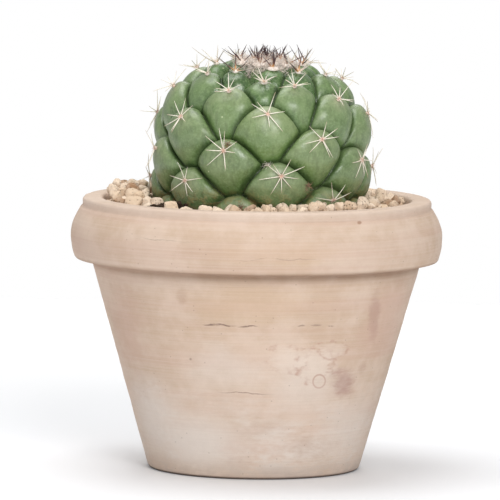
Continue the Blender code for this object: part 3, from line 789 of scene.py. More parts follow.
def pot_outline():
    """Down the outside from the lip, across the foot, up the drain hole and the inner wall."""
    neck_inside = NECK_RADIUS - WALL
    floor_inside = float(body_radius(FLOOR_TOP_Z)) - WALL
    corners = [(LIP_INNER_RADIUS, POT_HEIGHT, 1.1 * MM), (LIP_OUTER_RADIUS, POT_HEIGHT, 1.5 * MM),
               (LIP_OUTER_RADIUS - 0.1 * MM, BAND_TOP_Z + 0.7 * MM, 0.25 * MM)]
    heights = np.linspace(BAND_TOP_Z, BAND_BOTTOM_Z, 22)
    corners.append((float(band_radius(BAND_TOP_Z)), BAND_TOP_Z + 0.3 * MM, 0.3 * MM))
    corners += [(float(band_radius(height)), float(height), 0.0) for height in heights[1:-1]]
    corners += [(float(band_radius(BAND_BOTTOM_Z)) - 0.3 * MM, BAND_BOTTOM_Z - 1.0 * MM, 0.9 * MM),
                (float(body_radius(UNDERCUT_Z)), UNDERCUT_Z, 0.5 * MM),
                (FOOT_RADIUS - 0.9 * MM, 0.0, 2.4 * MM),
                (DRAIN_RADIUS, 0.0, 0.8 * MM),
                (DRAIN_RADIUS, FLOOR_TOP_Z, 1.2 * MM),
                (floor_inside, FLOOR_TOP_Z, 2.6 * MM),
                (neck_inside, NECK_Z, 3.0 * MM)]
    return rounded(corners)


def make_pot(clay):
    """The outline carried round the axis: point = (r sin a, -r cos a, h).

    The wall is turned by hand, so its radius wavers by a tenth of a millimetre, and small chips are pressed
    into the lip and the foot.
    """
    def spacing(points):
        outside = points[:, 0] > body_radius(points[:, 1]) - 3 * MM
        return np.where(outside | (points[:, 1] > 105 * MM), 0.8 * MM, 3.4 * MM)

    outline = evenly(pot_outline(), spacing)
    azimuth = np.arange(POT_COLUMNS) / POT_COLUMNS * math.tau
    points = around(azimuth, outline[:, :1], outline[:, 1:]).reshape(-1, 3)
    height = points[:, 2]
    free = np.clip(height / (2 * MM), 0, 1) * np.clip((POT_HEIGHT - height) / (2 * MM), 0, 1)
    swell = -0.10 * MM * (1 + waves(points * np.array([0.25, 0.25, 1.0]), 7 * MM, 3)) * free
    swell -= 0.12 * MM * (1 + waves(points, 90 * MM, 4)) * free
    chance = np.random.default_rng(8)
    for _ in range(CHIPS):
        turn = chance.uniform(0, math.tau)
        if chance.random() < 0.3:
            level, rim = 0.5 * MM, FOOT_RADIUS
        else:
            level = POT_HEIGHT - 0.4 * MM
            rim = LIP_OUTER_RADIUS if chance.random() < 0.6 else LIP_INNER_RADIUS
        apart = np.linalg.norm(points - around(turn, rim, level), axis=1)
        chip = np.exp(-(apart / chance.uniform(0.8 * MM, 2.2 * MM)) ** 2)
        depth = chance.uniform(0.15 * MM, 0.5 * MM) * (-1 if rim == LIP_INNER_RADIUS else 1)
        swell -= depth * chip
    points = points + unit(points * np.array([1, 1, 0])) * swell[:, None]
    points[:, 2] = np.clip(points[:, 2], 0.0, POT_HEIGHT)
    surface = points, [grid_faces(len(outline), POT_COLUMNS, join_rows=True)]
    place_piece("turned_pot", surface, clay, "clay", "pot")


# ---------------------------------------------------------------- stem

def meridian_table(count=1500):
    """Envelope of the stem, two half superellipses: arc, radius, height and outward normal."""
    turn = np.linspace(0.0, np.pi, count)
    upper = turn <= np.pi / 2
    power = np.where(upper, 2 / CROWN_EXPONENT, 2 / BASE_EXPONENT)
    radius = STEM_RADIUS * np.clip(np.sin(turn), 0, 1) ** power
    reach = np.where(upper, CROWN_HEIGHT, BASE_DEPTH)
    height = EQUATOR_Z + reach * np.sign(np.cos(turn)) * np.abs(np.cos(turn)) ** power
    arc = np.concatenate([[0.0], np.cumsum(np.hypot(np.diff(radius), np.diff(height)))])
    d_radius = np.gradient(radius, arc)
    d_height = np.gradient(height, arc)
    length = np.hypot(d_radius, d_height)
    return arc, radius, height, -d_height / length, d_radius / length


def lean(points):
    """Tips the plant forwards, then sideways, about its axis at the soil. The buried part stays upright."""
    pivot = np.array([PLANT_X, 0.0, SOIL_TOP_Z])
    bare = np.clip((points[:, 2:] - BURIED_Z) / (SOIL_TOP_Z - BURIED_Z), 0.0, 1.0)
    return points + ((points - pivot) @ LEAN.T + pivot - points) * bare


def size_at(arc):
    """Size of a tubercle at an arc from the apex, 1 where it is grown."""
    return np.clip(arc / GROWN_ARC, 0.02, 1.0) ** (CROWDING / 2)


def tubercle_lattice(table):
    """Number, azimuth, arc and size of each tubercle along the spiral, as the frame's stem has them."""
    arc, radius, height = table[:3]
    upper = height > EQUATOR_Z - BASE_DEPTH / 2
    first = float(np.interp(-FIRST_AREOLE_Z, -height[upper], arc[upper]))

    def advance(place):
        return CELL_AREA * size_at(place) ** 2 / (2 * math.pi * float(np.interp(place, arc, radius)))

    places = {0: first}
    for number in range(1, OLDEST + 1):
        places[number] = places[number - 1] + advance(places[number - 1])
    for number in range(-1, YOUNGEST - 1, -1):
        places[number] = places[number + 1] - advance(places[number + 1])
    numbers = np.array(sorted(places))
    arcs = np.array([places[n] for n in numbers])
    sizes = size_at(arcs)
    azimuths = FIRST_AZIMUTH + numbers * DIVERGENCE + TURN_WAVER * np.sin(2.3 * numbers + 1.0)
    arcs = arcs + ARC_WAVER * sizes * np.sin(4.1 * numbers)
    for number, (turn, slide) in STRAYS.items():
        azimuths[numbers == number] += turn
        arcs[numbers == number] += slide
    return numbers, azimuths, arcs, sizes


TABLE = meridian_table()
NUMBERS, AZIMUTHS, ARCS, SIZES = tubercle_lattice(TABLE)


def tubercle_domes(azimuth, arc):
    """Each tubercle's dome at each point: size^h (1 - d^p), where d is the distance over a soft lozenge.

    Returns the domes and the places across and down each tubercle.
    """
    girth = np.interp(arc, TABLE[0], TABLE[1])
    spread = np.clip((ARCS - GROWN_ARC) / (FLAT_ARC - GROWN_ARC), 0.0, 1.0)
    width = SIZES * (SLIM_WIDTH + (WIDE_WIDTH - SLIM_WIDTH) * spread)
    length = SIZES * (SLIM_LENGTH + (WIDE_LENGTH - SLIM_LENGTH) * spread)
    turn = (azimuth[:, None] - AZIMUTHS[None, :] + math.pi) % (2 * math.pi) - math.pi
    across = girth[:, None] * turn / width
    down = (arc[:, None] - ARCS[None, :] - AREOLE_RISE * SIZES) / length
    soft_across = np.hypot(across, CORNER_SOFTNESS) - CORNER_SOFTNESS
    soft_down = np.hypot(down, CORNER_SOFTNESS) - CORNER_SOFTNESS
    distance = (soft_across ** CORNERS + soft_down ** CORNERS) ** (1 / CORNERS)
    return SIZES ** YOUNG_HEIGHT * (1 - distance ** ROUNDNESS), across * width, down * length


def stem_surface(azimuth, arc):
    """Points of the skin and the values that its finish reads.

    The skin is the highest dome, sunk under the envelope along a line tilted up from the normal, and by
    CREASE_DEPTH exp(-e / CREASE_REACH) more where the next dome is only e lower.
    """
    domes, across, down = tubercle_domes(azimuth, arc)
    order = np.argsort(domes, axis=1)
    rows = np.arange(len(arc))
    best, second = order[:, -1], order[:, -2]
    top = domes[rows, best]
    limit = size_at(arc) ** YOUNG_HEIGHT
    radius, height, out, up = (np.interp(arc, TABLE[0], column) for column in TABLE[1:])
    bare = np.clip((height - BURIED_Z) / (SOIL_TOP_Z - BURIED_Z), 0.0, 1.0)
    edge = np.clip((top - domes[rows, second]) / (0.9 * SIZES[best] ** YOUNG_HEIGHT), 0, 1)
    depth = TUBERCLE_HEIGHT * np.clip(limit - top, 0.0, 1.15 * limit)
    depth = (depth + CREASE_DEPTH * limit * np.exp(-edge / CREASE_REACH)) * bare
    tilt = UPWARD_TILT * np.clip(arc / GROWN_ARC, 0.0, 1.0)
    radius = radius - depth * (out * np.cos(tilt) - up * np.sin(tilt))
    height = height - depth * (up * np.cos(tilt) + out * np.sin(tilt))
    points = lean(around(azimuth, radius, height) + np.array([PLANT_X, 0, 0]))
    reach = np.hypot(across[rows, best], down[rows, best] + AREOLE_RISE * SIZES[best])
    values = {"edge": edge,
              "near_areole": np.exp(-(reach / (5.5 * MM * SIZES[best])) ** 2),
              "down": down[rows, best] / (SLIM_LENGTH * SIZES[best]),
              "young": np.clip((YOUNG_SIZE - SIZES[best]) / YOUNG_FADE, 0, 1),
              "tint": np.modf(np.abs(np.sin(NUMBERS[best] * 12.9898) * 43.7585))[0]}
    return points, values


def make_stem(skin, batches=5):
    """Rings from the apex to the root, crowded where the stem shows, each laid on the stem's surface.

    They are worked out in batches, to save memory.
    """
    shown = float(np.interp(-SOIL_TOP_Z, -TABLE[2], TABLE[0]))
    arc = np.concatenate([np.linspace(0.25 * MM, shown, STEM_ROWS - BURIED_ROWS),
                          np.linspace(shown, TABLE[0][-1] - 0.5 * MM, BURIED_ROWS + 1)[1:]])
    azimuth = np.arange(STEM_COLUMNS) / STEM_COLUMNS * math.tau
    all_azimuth = np.tile(azimuth, len(arc))
    all_arc = np.repeat(arc, STEM_COLUMNS)
    parts = [stem_surface(*batch) for batch in zip(np.array_split(all_azimuth, batches),
                                                   np.array_split(all_arc, batches))]
    points = np.concatenate([part[0] for part in parts])
    values = {label: np.concatenate([part[1][label] for part in parts]) for label in parts[0][1]}
    outwards = unit(points - np.array([PLANT_X, 0, EQUATOR_Z - 8 * MM]))
    uneven = STEM_WAVER * waves(points, 14 * MM, 21) + STEM_GRAIN * waves(points, 4 * MM, 22)
    uneven = (uneven - 0.25 * MM) * np.clip(all_arc / (20 * MM), 0, 1)
    points = points + outwards * uneven[:, None]
    apex = points[:STEM_COLUMNS].mean(axis=0)
    root = np.array([PLANT_X, 0.0, EQUATOR_Z - BASE_DEPTH])
    points = np.concatenate([points, [apex, root]])
    values = {label: np.concatenate([column, column[:1], column[-1:]]) for label, column in values.items()}
    surface = points, closed_faces(len(arc), STEM_COLUMNS), values
    place_piece("cactus_stem", surface, skin, "skin", "cactus_body")


# ---------------------------------------------------------------- areoles and spines

def frames_at(azimuth, arc):
    """Place on the skin and the three directions (across, up the stem, outwards) at each azimuth and arc."""
    place = stem_surface(azimuth, arc)[0]
    out = np.interp(arc, TABLE[0], TABLE[3])
    up = np.interp(arc, TABLE[0], TABLE[4])
    outward = around(azimuth, out, up) @ LEAN.T
    across = around(azimuth + math.pi / 2, 1.0, 0.0) @ LEAN.T
    return place, across, np.cross(outward, across), outward


def areole_frames(chosen):
    return frames_at(AZIMUTHS[chosen], ARCS[chosen])


def spine_count(number):
    return 6 + (number * 5 % 7) % 3


def along_skin(across, upward, turn):
    """The direction along the skin that is turned from across towards upward."""
    return across * np.cos(turn)[:, None] + upward * np.sin(turn)[:, None]


def spine_paths(place, across, upward, outward, angles, rises, lengths, bends, steps=9):
    """Gently curved spines: point = place + length (s cos rise level + (s sin rise + bend s^2) outwards)."""
    level = along_skin(across, upward, angles)
    share = np.linspace(0, 1, steps)[None, :, None]
    straight = level * np.cos(rises)[:, None] + outward * np.sin(rises)[:, None]
    curve = (bends[:, None] * outward)[:, None, :] * share ** 2
    return place + lengths[:, None, None] * (straight[:, None, :] * share + curve)


def make_spine_cluster(number, spine_horn):
    """A star of grown spines round one areole, each with its own length, lift and bend."""
    index = int(np.searchsorted(NUMBERS, number))
    chance = np.random.default_rng(500 + number)
    place, across, upward, outward = (column[0] for column in areole_frames(np.array([index])))
    size = SIZES[index]
    young = min(max((1.0 - size) / YOUNG_RANGE, 0.0), 1.0)
    count = spine_count(number) + 1
    angles = -math.pi / 2 + math.tau * np.arange(count) / count + chance.normal(0, 0.20, count)
    rises = SPINE_RISE + (YOUNG_RISE - SPINE_RISE) * young + chance.normal(0, 0.15, count)
    lengths = SPINE_LENGTH * (1 - 0.22 * young) * chance.uniform(0.60, 1.02, count)
    bends = chance.normal(-0.05, 0.09, count)
    start = place + outward * SPINE_START
    paths = spine_paths(start, across, upward, outward, angles, rises, lengths, bends)
    paths = paths[paths[:, -1, 2] > PUMICE_TOP_Z + SPINE_CLEARANCE]
    share = np.linspace(0, 1, paths.shape[1])
    thick = SPINE_RADIUS * chance.uniform(0.85, 1.1, len(paths))[:, None]
    radii = thick * (0.25 + 0.8 * (1 - share) ** 0.7)[None, :]
    dark = np.clip((DARK_BELOW - size) / DARK_FADE + chance.normal(0, 0.12, len(paths)), 0, 1)
    star = tubes(paths, radii, 7, {"young": dark, "tint": chance.random(len(paths))})
    name = "%02d" % (number - FIRST_CLUSTER + 1)
    place_piece("spines_" + name, star, spine_horn, "spine", "spine_cluster_" + name)


def make_crown_spines(spine_horn):
    """The erect spines of the young areoles round the apex, shortened where they would pass the tallest."""
    parts = []
    for number in range(YOUNGEST, FIRST_CLUSTER):
        index = int(np.searchsorted(NUMBERS, number))
        chance = np.random.default_rng(900 + number)
        place, across, upward, outward = (column[0] for column in areole_frames(np.array([index])))
        age = (FIRST_CLUSTER - number) / (FIRST_CLUSTER - YOUNGEST)
        count = int(round(6 - 3 * age))
        angles = chance.uniform(0, 1) + math.tau * np.arange(count) / count + chance.normal(0, 0.35, count)
        rises = CROWN_RISE + CROWN_RISE_GAIN * age + chance.normal(0, 0.45, count)
        lengths = (CROWN_SPINE_LENGTH - CROWN_SPINE_LOSS * age) * chance.uniform(0.6, 1.15, count)
        start = place + outward * CROWN_SPINE_START
        bends = chance.normal(0.04, 0.14, count)
        paths = spine_paths(start, across, upward, outward, angles, rises, lengths, bends)
        over = (paths[:, -1, 2] - place[2]) / max(CROWN_SPINE_TOP_Z - place[2], 1 * MM)
        paths = place + (paths - place) / np.maximum(over, 1.0)[:, None, None]
        share = np.linspace(0, 1, paths.shape[1])
        thick = CROWN_SPINE_RADIUS * chance.uniform(0.7, 1.15, count)[:, None]
        dark = np.clip((DARK_BELOW - SIZES[index]) / DARK_FADE + chance.normal(0, 0.25, count), 0.1, 1)
        parts.append(tubes(paths, thick * (0.12 + 0.95 * (1 - share) ** 0.8), 6,
                           {"young": dark, "tint": chance.random(count)}))
    place_piece("crown_spines", joined(parts), spine_horn, "spine")


def felt_pads(frames, radii, heights, seed, columns=16, rows=7):
    """A low domed pad on each areole, a little wider than high, and roughened by small waves.

    point = place + radius sin p (across cos t - upward sin t) + height cos p outward
    """
    place, across, upward, outward = frames
    polar = np.linspace(0.12, 0.62 * math.pi, rows)
    turn = np.arange(columns) / columns * math.tau
    ring = np.sin(polar)[:, None] * np.ones(columns)
    flat = (across[:, None, None] * (ring * np.cos(turn))[None, :, :, None] * 1.15
            + upward[:, None, None] * (-ring * np.sin(turn))[None, :, :, None])
    dome = outward[:, None, None] * (np.cos(polar)[:, None] * np.ones(columns))[None, :, :, None]
    shape = flat * radii[:, None, None, None] + dome * heights[:, None, None, None]
    points = (place[:, None, None] + shape).reshape(len(place), -1, 3)
    lift = unit(shape.reshape(len(place), -1, 3))
    points = points + lift * (PAD_ROUGHNESS * waves(points, 0.8 * MM, seed))[..., None]
    top = place + outward * heights[:, None] * 1.02
    under = place - outward * heights[:, None] * 0.4
    points = np.concatenate([points, top[:, None], under[:, None]], axis=1)
    each = points.shape[1]
    return points.reshape(-1, 3), copies(closed_faces(rows, columns), len(place), each), each


def curly_hairs(roots, directions, lengths, curl, radius, seed, steps=7):
    """Fine hairs: point = root + length (s direction + curl (A (cos w s - 1) + B sin w s)).

    A and B are square to the hair's direction, and w is its number of turns.
    """
    chance = np.random.default_rng(seed)
    count = len(roots)
    share = np.linspace(0, 1, steps)[None, :, None]
    helper = unit(chance.normal(size=(count, 3)))
    first = unit(np.cross(directions, helper))[:, None, :]
    second = np.cross(directions, first[:, 0])[:, None, :]
    turns = chance.uniform(1.5, 5.0, count)[:, None, None]
    sway = first * np.cos(turns * share) + second * np.sin(turns * share) - first
    lengths = lengths[:, None, None]
    paths = roots[:, None] + lengths * share * directions[:, None] + curl * sway * lengths
    radii = radius * (1.0 - 0.7 * np.linspace(0, 1, steps))[None, :] * np.ones((count, 1))
    return paths, radii


def hairy_pads(chosen, chance, seed, radii, heights, old, per, hair):
    """A felt pad on each chosen areole, and as many curly hairs as per says fanning out over each pad.

    hair names how far above the skin the hairs start, how far they fan out, rise and stray, the range of
    their lengths (from, to), a factor on it for each pad (growth), their curl and their radius.
    """
    frames = areole_frames(chosen)
    points, faces, each = felt_pads(frames, radii, heights, seed)
    pads = points, faces, {"along": np.zeros(len(points)), "old": np.repeat(old, each)}
    spot = np.repeat(np.arange(len(chosen)), per)
    place, across, upward, outward = (column[spot] for column in frames)
    turn = chance.uniform(0, math.tau, len(spot))
    reach = np.sqrt(chance.uniform(0, 1, len(spot)))
    level = along_skin(across, upward, turn)
    roots = place + level * (reach * radii[spot])[:, None] + outward * hair["start"]
    fan = level * (0.2 + hair["fan"] * reach)[:, None] + outward * hair["rise"]
    directions = unit(fan + chance.normal(0, hair["stray"], (len(spot), 3)))
    lengths = chance.uniform(hair["from"], hair["to"], len(spot)) * hair["growth"][spot]
    paths, thick = curly_hairs(roots, directions, lengths, hair["curl"], hair["radius"], seed + 1)
    return [pads, tubes(paths, thick, 3, {"old": old[spot]})]


def make_areole_wool(wool):
    """A felt pad with short hairs on each grown areole."""
    chosen = np.flatnonzero((NUMBERS >= FIRST_CLUSTER) & (NUMBERS <= LAST_CLUSTER + 2))
    chance = np.random.default_rng(61)
    radii = PAD_RADIUS * chance.uniform(0.85, 1.15, len(chosen))
    heights = PAD_HEIGHT * chance.uniform(0.8, 1.2, len(chosen))
    old = np.clip((SIZES[chosen] - 0.6) / 0.3, 0.1, 1)
    hair = {"start": 0.3 * MM, "fan": 0.9, "rise": 0.8, "stray": 0.25, "from": 0.8 * MM, "to": 1.8 * MM,
            "growth": np.ones(len(chosen)), "curl": 0.25, "radius": 0.045 * MM}
    parts = hairy_pads(chosen, chance, 62, radii, heights, old, PAD_HAIRS, hair)
    place_piece("areole_wool", joined(parts), wool, "wool")


def make_axil_tufts(wool):
    """Small dry tufts low in the hollows between tubercles: the strands of a tuft start in one spot."""
    numbers, turns, slides, ages = (np.array(column) for column in zip(*AXIL_TUFTS))
    chosen = np.searchsorted(NUMBERS, numbers)
    frames = frames_at(AZIMUTHS[chosen] + turns, ARCS[chosen] + slides * MM)
    chance = np.random.default_rng(81)
    spot = np.repeat(np.arange(len(chosen)), TUFT_HAIRS)
    place, across, upward, outward = (column[spot] for column in frames)
    turn = chance.uniform(0, math.tau, len(spot))
    level = along_skin(across, upward, turn)
    roots = place + level * chance.uniform(0, 1.1 * MM, len(spot))[:, None]
    directions = unit(level * 0.9 + outward * chance.uniform(0.3, 1.2, len(spot))[:, None])
    lengths = chance.uniform(0.8 * MM, 2.6 * MM, len(spot))
    paths, thick = curly_hairs(roots, directions, lengths, 0.25, 0.08 * MM, 82)
    place_piece("axil_tufts", tubes(paths, thick, 3, {"old": ages[spot]}), wool, "wool")


def make_crown_wool(wool):
    """The crown's wool: a soft pad and curly hairs on each young areole, and a mat of hairs at the apex."""
    chosen = np.flatnonzero(NUMBERS < FIRST_CLUSTER)
    chance = np.random.default_rng(71)
    inner = np.clip((WOOLLY_ARC - ARCS[chosen]) / (5 * MM), 0, 1)
    radii = (1.2 + 1.5 * inner) * MM * chance.uniform(0.85, 1.2, len(chosen))
    heights = (0.9 + 0.4 * inner) * MM * chance.uniform(0.8, 1.2, len(chosen))
    hair = {"start": 0.4 * MM, "fan": 0.8, "rise": 1.0, "stray": 0.3, "from": 1.0 * MM, "to": 2.6 * MM,
            "growth": 1 + 0.5 * inner, "curl": 0.35, "radius": 0.05 * MM}
    fresh = np.zeros(len(chosen))
    parts = hairy_pads(chosen, chance, 72, radii, heights, fresh, CROWN_PAD_HAIRS, hair)
    arc = MAT_ARC * np.sqrt(chance.uniform(0.01, 1, MAT_HAIRS))
    place, _, _, outward = frames_at(chance.uniform(0, math.tau, MAT_HAIRS), arc)
    directions = unit(0.8 * outward + chance.normal(0, 1, (MAT_HAIRS, 3)))
    lengths = chance.uniform(1.4 * MM, 3.0 * MM, MAT_HAIRS)
    paths, thick = curly_hairs(place + outward * 0.4 * MM, directions, lengths, 0.5, 0.10 * MM, 74)
    parts.append(tubes(paths, thick, 3, {"old": chance.uniform(0, 0.3, MAT_HAIRS)}))
    place_piece("crown_wool", joined(parts), wool, "wool", "crown_tuft")


# ---------------------------------------------------------------- soil and gravel

def ball_grid(columns, rows):
    """Directions over a ball, from the top down, its two poles last, and the faces between them."""
    polar = (np.arange(rows) + 1) / (rows + 1) * math.pi
    turn = np.arange(columns) / columns * math.tau
    ring = around(turn, np.sin(polar)[:, None], np.cos(polar)[:, None]).reshape(-1, 3)
    return np.concatenate([ring, [[0, 0, 1.0], [0, 0, -1.0]]]), closed_faces(rows, columns)


def stone_shapes(directions, count, chance, pits=0, sides=13, sharpness=14):
    """Angular stones about as big as a unit ball, cut by planes that face along n.

    radius = (sum over the planes of (max(n.d, 0) / offset)^sharpness)^(-1 / sharpness) in the direction d.
    Small round pits are pressed in where they are asked for.
    """
    planes = unit(chance.normal(size=(count, sides, 3)))
    offsets = chance.uniform(0.62, 1.0, size=(count, sides))
    facing = np.clip(np.einsum("mpk,vk->mvp", planes, directions), 0, None) / offsets[:, None, :]
    radius = (facing ** sharpness).sum(axis=2) ** (-1 / sharpness)
    radius = np.minimum(radius, 1.25)
    points = directions[None] * radius[..., None]
    points *= chance.uniform(0.72, 1.0, size=(count, 1, 3))
    rough = 0.05 * waves(points, 0.9, int(chance.integers(1000))) + 0.03 * waves(points, 0.35, 7)
    if pits:
        centres = unit(chance.normal(size=(count, pits, 3)))
        depth = chance.uniform(0.04, 0.16, size=(count, pits))
        width = chance.uniform(0.10, 0.24, size=(count, pits))
        apart = np.linalg.norm(unit(points)[:, :, None] - centres[:, None], axis=-1) / width[:, None]
        rough = rough - (depth[:, None] * np.exp(-apart ** 4)).sum(axis=2)
    points = points * (1 + rough)[..., None]
    turn = chance.uniform(0, math.tau, count)
    cos, sin = np.cos(turn), np.sin(turn)
    x = points[..., 0] * cos[:, None] - points[..., 1] * sin[:, None]
    y = points[..., 0] * sin[:, None] + points[..., 1] * cos[:, None]
    return np.stack([x, y, points[..., 2]], axis=-1)


def soil_height(radius, azimuth):
    """The soil's surface: level, and rising in a low collar against the plant."""
    collar = np.exp(-((radius - COLLAR_RADIUS) / COLLAR_WIDTH) ** 2)
    return SOIL_TOP_Z + collar * (4.5 + 1.5 * np.sin(azimuth + 2.0)) * MM


def settle(balls, placed, chance, top, tries=500):
    """Drops balls one by one between plant and wall, each to the lowest resting place of its tries.

    A ball rests on the soil or on the balls under it: height = z + sqrt((r1 + r2)^2 - d^2), a little sunk in.
    It is left out where it would stand above the top (a function of the azimuth). Adds the balls to those
    placed, as rows of x, y, z and radius.
    """
    count, smallest, largest = balls
    for size in chance.uniform(smallest, largest, count):
        azimuth = chance.uniform(0, math.tau, tries)
        inner = GRAVEL_INNER_RADIUS + size
        outer = LIP_INNER_RADIUS - GRAVEL_WALL_GAP - size
        radius = inner + (outer - inner) * chance.uniform(0, 1, tries)
        x = PLANT_X * (outer - radius) / (outer - inner) + radius * np.sin(azimuth)
        y = -radius * np.cos(azimuth)
        rest = soil_height(radius, azimuth) + 0.8 * size
        if len(placed):
            under = np.array(placed)
            apart = np.hypot(x[:, None] - under[:, 0], y[:, None] - under[:, 1])
            reach = (size + under[:, 3]) * NESTING
            above = np.sqrt(np.clip(reach ** 2 - apart ** 2, 0, None))
            over = np.where(apart < reach, under[:, 2] + above, 0)
            rest = np.maximum(rest, over.max(axis=1))
        score = rest + size * 0.8 - top(azimuth)
        best = int(np.argmin(score))
        if score[best] <= 0:
            placed.append((x[best], y[best], rest[best], size))
    return placed


def near_azimuth(azimuth, middle, reach):
    """1 at the middle azimuth (degrees), fading to 0 over the reach (radians)."""
    return np.exp(-((np.mod(azimuth - math.radians(middle) + math.pi, math.tau) - math.pi) / reach) ** 2)


def gravel_top(azimuth):
    """How high the gravel is heaped: a little over the rim, with a mound and a dip where the soil shows."""
    mound = near_azimuth(azimuth, MOUND_AZIMUTH, 0.6)
    dip = near_azimuth(azimuth, BARE_AZIMUTH, 0.24)
    return POT_HEIGHT + (2.6 + 3.4 * mound - 5.0 * dip + 0.7 * np.sin(3 * azimuth)) * MM


def clod_top(azimuth):
    """Clods lie only where the gravel dips."""
    return POT_HEIGHT + (20.0 * near_azimuth(azimuth, BARE_AZIMUTH, 0.30) - 18.6) * MM


def make_named_stones(pumice):
    """The loose stones on top, one for each of the frame's, fitted to its box."""
    directions, faces = ball_grid(36, 20)
    chance = np.random.default_rng(131)
    shapes = stone_shapes(directions, len(STONE_NODES), chance, pits=26)
    for shape, node in zip(shapes, STONE_NODES):
        low, high = (np.array(corner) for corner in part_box(node))
        small, large = shape.min(axis=0), shape.max(axis=0)
        points = low + (shape - small) / (large - small) * (high - low)
        tint = np.full(len(points), chance.random())
        place_piece("pumice_" + node, (points, faces, {"tint": tint}), pumice, "pumice", node)


def make_gravel(pumice):
    """The packed gravel: a settled heap of small stones round the plant, finer shapes on its top layer."""
    chance = np.random.default_rng(141)
    lower = settle(PACKED_BALLS, [], chance, lambda azimuth: PUMICE_TOP_Z)
    named = []
    for node in STONE_NODES:
        low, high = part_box(node)
        middle = (low + high) / 2
        named.append((middle.x, middle.y, middle.z, (high.x - low.x + high.y - low.y) / 4))
    first = len(lower) + len(named)
    balls = settle(TOP_BALLS, lower + named, chance, gravel_top)
    clods = settle(CLODS, list(balls), chance, clod_top)[len(balls):]
    loose = np.array(lower + balls[first:] + clods)
    soily = np.arange(len(loose)) >= len(loose) - len(clods)
    upper = loose[:, 2] + loose[:, 3] > FINE_GRAVEL_Z
    parts = []
    for chosen, columns, rows, pits in ((~upper, 12, 5, 0), (upper, 24, 13, 14)):
        group, dark = loose[chosen], soily[chosen]
        directions, faces = ball_grid(columns, rows)
        shapes = stone_shapes(directions, len(group), chance, pits)
        points = group[:, None, :3] + shapes * group[:, None, 3:] * 1.06
        each = len(directions)
        tint = np.where(dark, CLOD_TINT, chance.random(len(group)))
        values = {"tint": np.repeat(tint, each)}
        parts.append((points.reshape(-1, 3), copies(faces, len(group), each), values))
    place_piece("pumice_gravel", joined(parts), pumice, "pumice", "pumice_layer")


def make_soil(soil, columns=260, top_rows=60):
    """The potting mix: a closed outline carried round the axis, its crumbly top rising against the plant."""
    azimuth = np.arange(columns) / columns * math.tau
    floor_radius = float(body_radius(FLOOR_TOP_Z)) - WALL - SOIL_GAP
    floor_z = FLOOR_TOP_Z + SOIL_GAP
    neck = NECK_RADIUS - WALL - SOIL_GAP
    wall_top = neck + (SOIL_TOP_Z - NECK_Z) / (POT_HEIGHT - NECK_Z) * (LIP_INNER_RADIUS - NECK_RADIUS + WALL)
    top = [(radius, SOIL_TOP_Z) for radius in np.linspace(SOIL_HOLLOW_RADIUS, wall_top, top_rows)]
    side = [(neck, NECK_Z), (floor_radius, FLOOR_TOP_Z + 3 * MM), (floor_radius - 3 * MM, floor_z),
            (SOIL_HOLLOW_FLOOR_RADIUS, floor_z)]
    bowl = [(SOIL_HOLLOW_FLOOR_RADIUS, SOIL_HOLLOW_FLOOR_Z), (30 * MM, 82 * MM),
            (SOIL_HOLLOW_RADIUS, SOIL_HOLLOW_Z)]
    outline = np.array(top + side + bowl)
    raised = np.arange(len(outline))[:, None] < top_rows
    radius = outline[:, :1]
    height = np.where(raised, soil_height(radius, azimuth), outline[:, 1:])
    points = around(azimuth, radius, height).reshape(-1, 3)
    crumbs = 0.5 * MM * waves(points, 2.6 * MM, 151) + 0.35 * MM * np.abs(waves(points, 1.3 * MM, 152))
    points[:, 2] += np.where(np.repeat(raised[:, 0], columns), crumbs, 0)
    surface = points, [grid_faces(len(outline), columns, join_rows=True)]
    place_piece("potting_soil", surface, soil, "soil", "soil")


# ---------------------------------------------------------------- studio

AMBIENT = 0.50
FLOOR_FRONT_Y = -6.0
FLOOR_END_Y = 0.70
FLOOR_SIDE = 6.0
# floor colour near the camera and at its far edge; the brightening between them is painted light
FLOOR_NEAR = (0.86, 0.87, 0.89, 1.0)
FLOOR_FAR = (0.985, 0.985, 0.985, 1.0)
POT_MIDDLE = (0.0, 0.0, 0.12)
# Each light: name, place, size, power, and what it is turned to
LIGHTS = [("key", (0.50, -1.90, 1.00), 0.8, 26, POT_MIDDLE), ("fill", (-1.3, -0.9, 0.5), 0.9, 2, POT_MIDDLE),
          ("top", (-0.2, 0.1, 1.5), 1.0, 12, POT_MIDDLE), ("back", (0.1, 1.3, 1.1), 0.7, 3, (0.0, 0.6, 0.0))]
LENS = 480
CAMERA_PLACE = Vector((-2.7 * MM, -2.85, 0.362))
CAMERA_AIM = Vector((-2.7 * MM, 0.0, 0.0936))
CAMERA_ROLL = 0.013


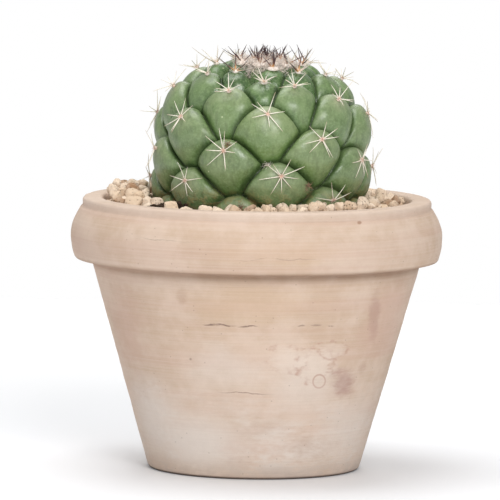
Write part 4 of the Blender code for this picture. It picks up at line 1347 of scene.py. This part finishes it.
def make_floor():
    """Pale paper that ends behind the pot, where the white beyond it begins, its colour brightening towards
    the back as painted light.
    """
    mesh = bpy.data.meshes.new("studio_floor")
    corners = [(-FLOOR_SIDE, FLOOR_FRONT_Y, 0), (FLOOR_SIDE, FLOOR_FRONT_Y, 0), (FLOOR_SIDE, FLOOR_END_Y, 0),
               (-FLOOR_SIDE, FLOOR_END_Y, 0)]
    mesh.from_pydata(corners, [], [(0, 1, 2, 3)])
    floor = bpy.data.objects.new("studio_floor", mesh)
    bpy.context.scene.collection.objects.link(floor)
    material, tree, shader, place = new_material("floor_paper", Roughness=0.6)
    depth = add_node(tree, "ShaderNodeSeparateXYZ", {0: place}).outputs["Y"]
    # painted light: the paper darkens towards the camera and brightens to near white at its far edge
    colour = blend_colours(tree, step_between(tree, depth, 0.0, FLOOR_END_Y), FLOOR_NEAR, FLOOR_FAR)
    tree.links.new(colour, shader.inputs["Base Color"])
    mesh.materials.append(material)


def make_world():
    """White seen directly, and a softer white as the light that surrounds the plant."""
    world = bpy.data.worlds.new("studio")
    bpy.context.scene.world = world
    world.use_nodes = True
    tree = world.node_tree
    background = tree.nodes["Background"]
    seen = add_node(tree, "ShaderNodeLightPath").outputs["Is Camera Ray"]
    strength = shifted(tree, AMBIENT, seen, 1.0 - AMBIENT)
    tree.links.new(strength, background.inputs["Strength"])
    background.inputs["Color"].default_value = (1, 1, 1, 1)


def add_light(name, place, size, power, target):
    light = bpy.data.lights.new(name, "AREA")
    light.size = size
    light.energy = power
    lamp = bpy.data.objects.new(name, light)
    lamp.location = place
    lamp.rotation_euler = (Vector(target) - Vector(place)).to_track_quat("-Z", "Y").to_euler()
    bpy.context.scene.collection.objects.link(lamp)


def make_camera():
    """A long lens a little above the rim, looking slightly down and rolled by under a degree."""
    data = bpy.data.cameras.new("camera")
    data.lens = LENS
    camera = bpy.data.objects.new("camera", data)
    aimed = (CAMERA_AIM - CAMERA_PLACE).to_track_quat("-Z", "Y").to_matrix()
    camera.location = CAMERA_PLACE
    camera.rotation_euler = (aimed @ Matrix.Rotation(CAMERA_ROLL, 3, "Z")).to_euler()
    bpy.context.scene.collection.objects.link(camera)
    bpy.context.scene.camera = camera


def main():
    clay = make_clay()
    skin = make_skin()
    pumice = make_pumice()
    soil = make_soil_finish()
    wool = make_wool_finish()
    spine_horn = make_spine_finish()
    make_pot(clay)
    make_soil(soil)
    make_gravel(pumice)
    make_named_stones(pumice)
    make_stem(skin)
    for number in range(FIRST_CLUSTER, LAST_CLUSTER + 1):
        make_spine_cluster(number, spine_horn)
    make_crown_spines(spine_horn)
    make_areole_wool(wool)
    make_axil_tufts(wool)
    make_crown_wool(wool)
    make_floor()
    make_world()
    for light in LIGHTS:
        add_light(*light)
    make_camera()
    bpy.context.scene.view_settings.view_transform = "Standard"


main()
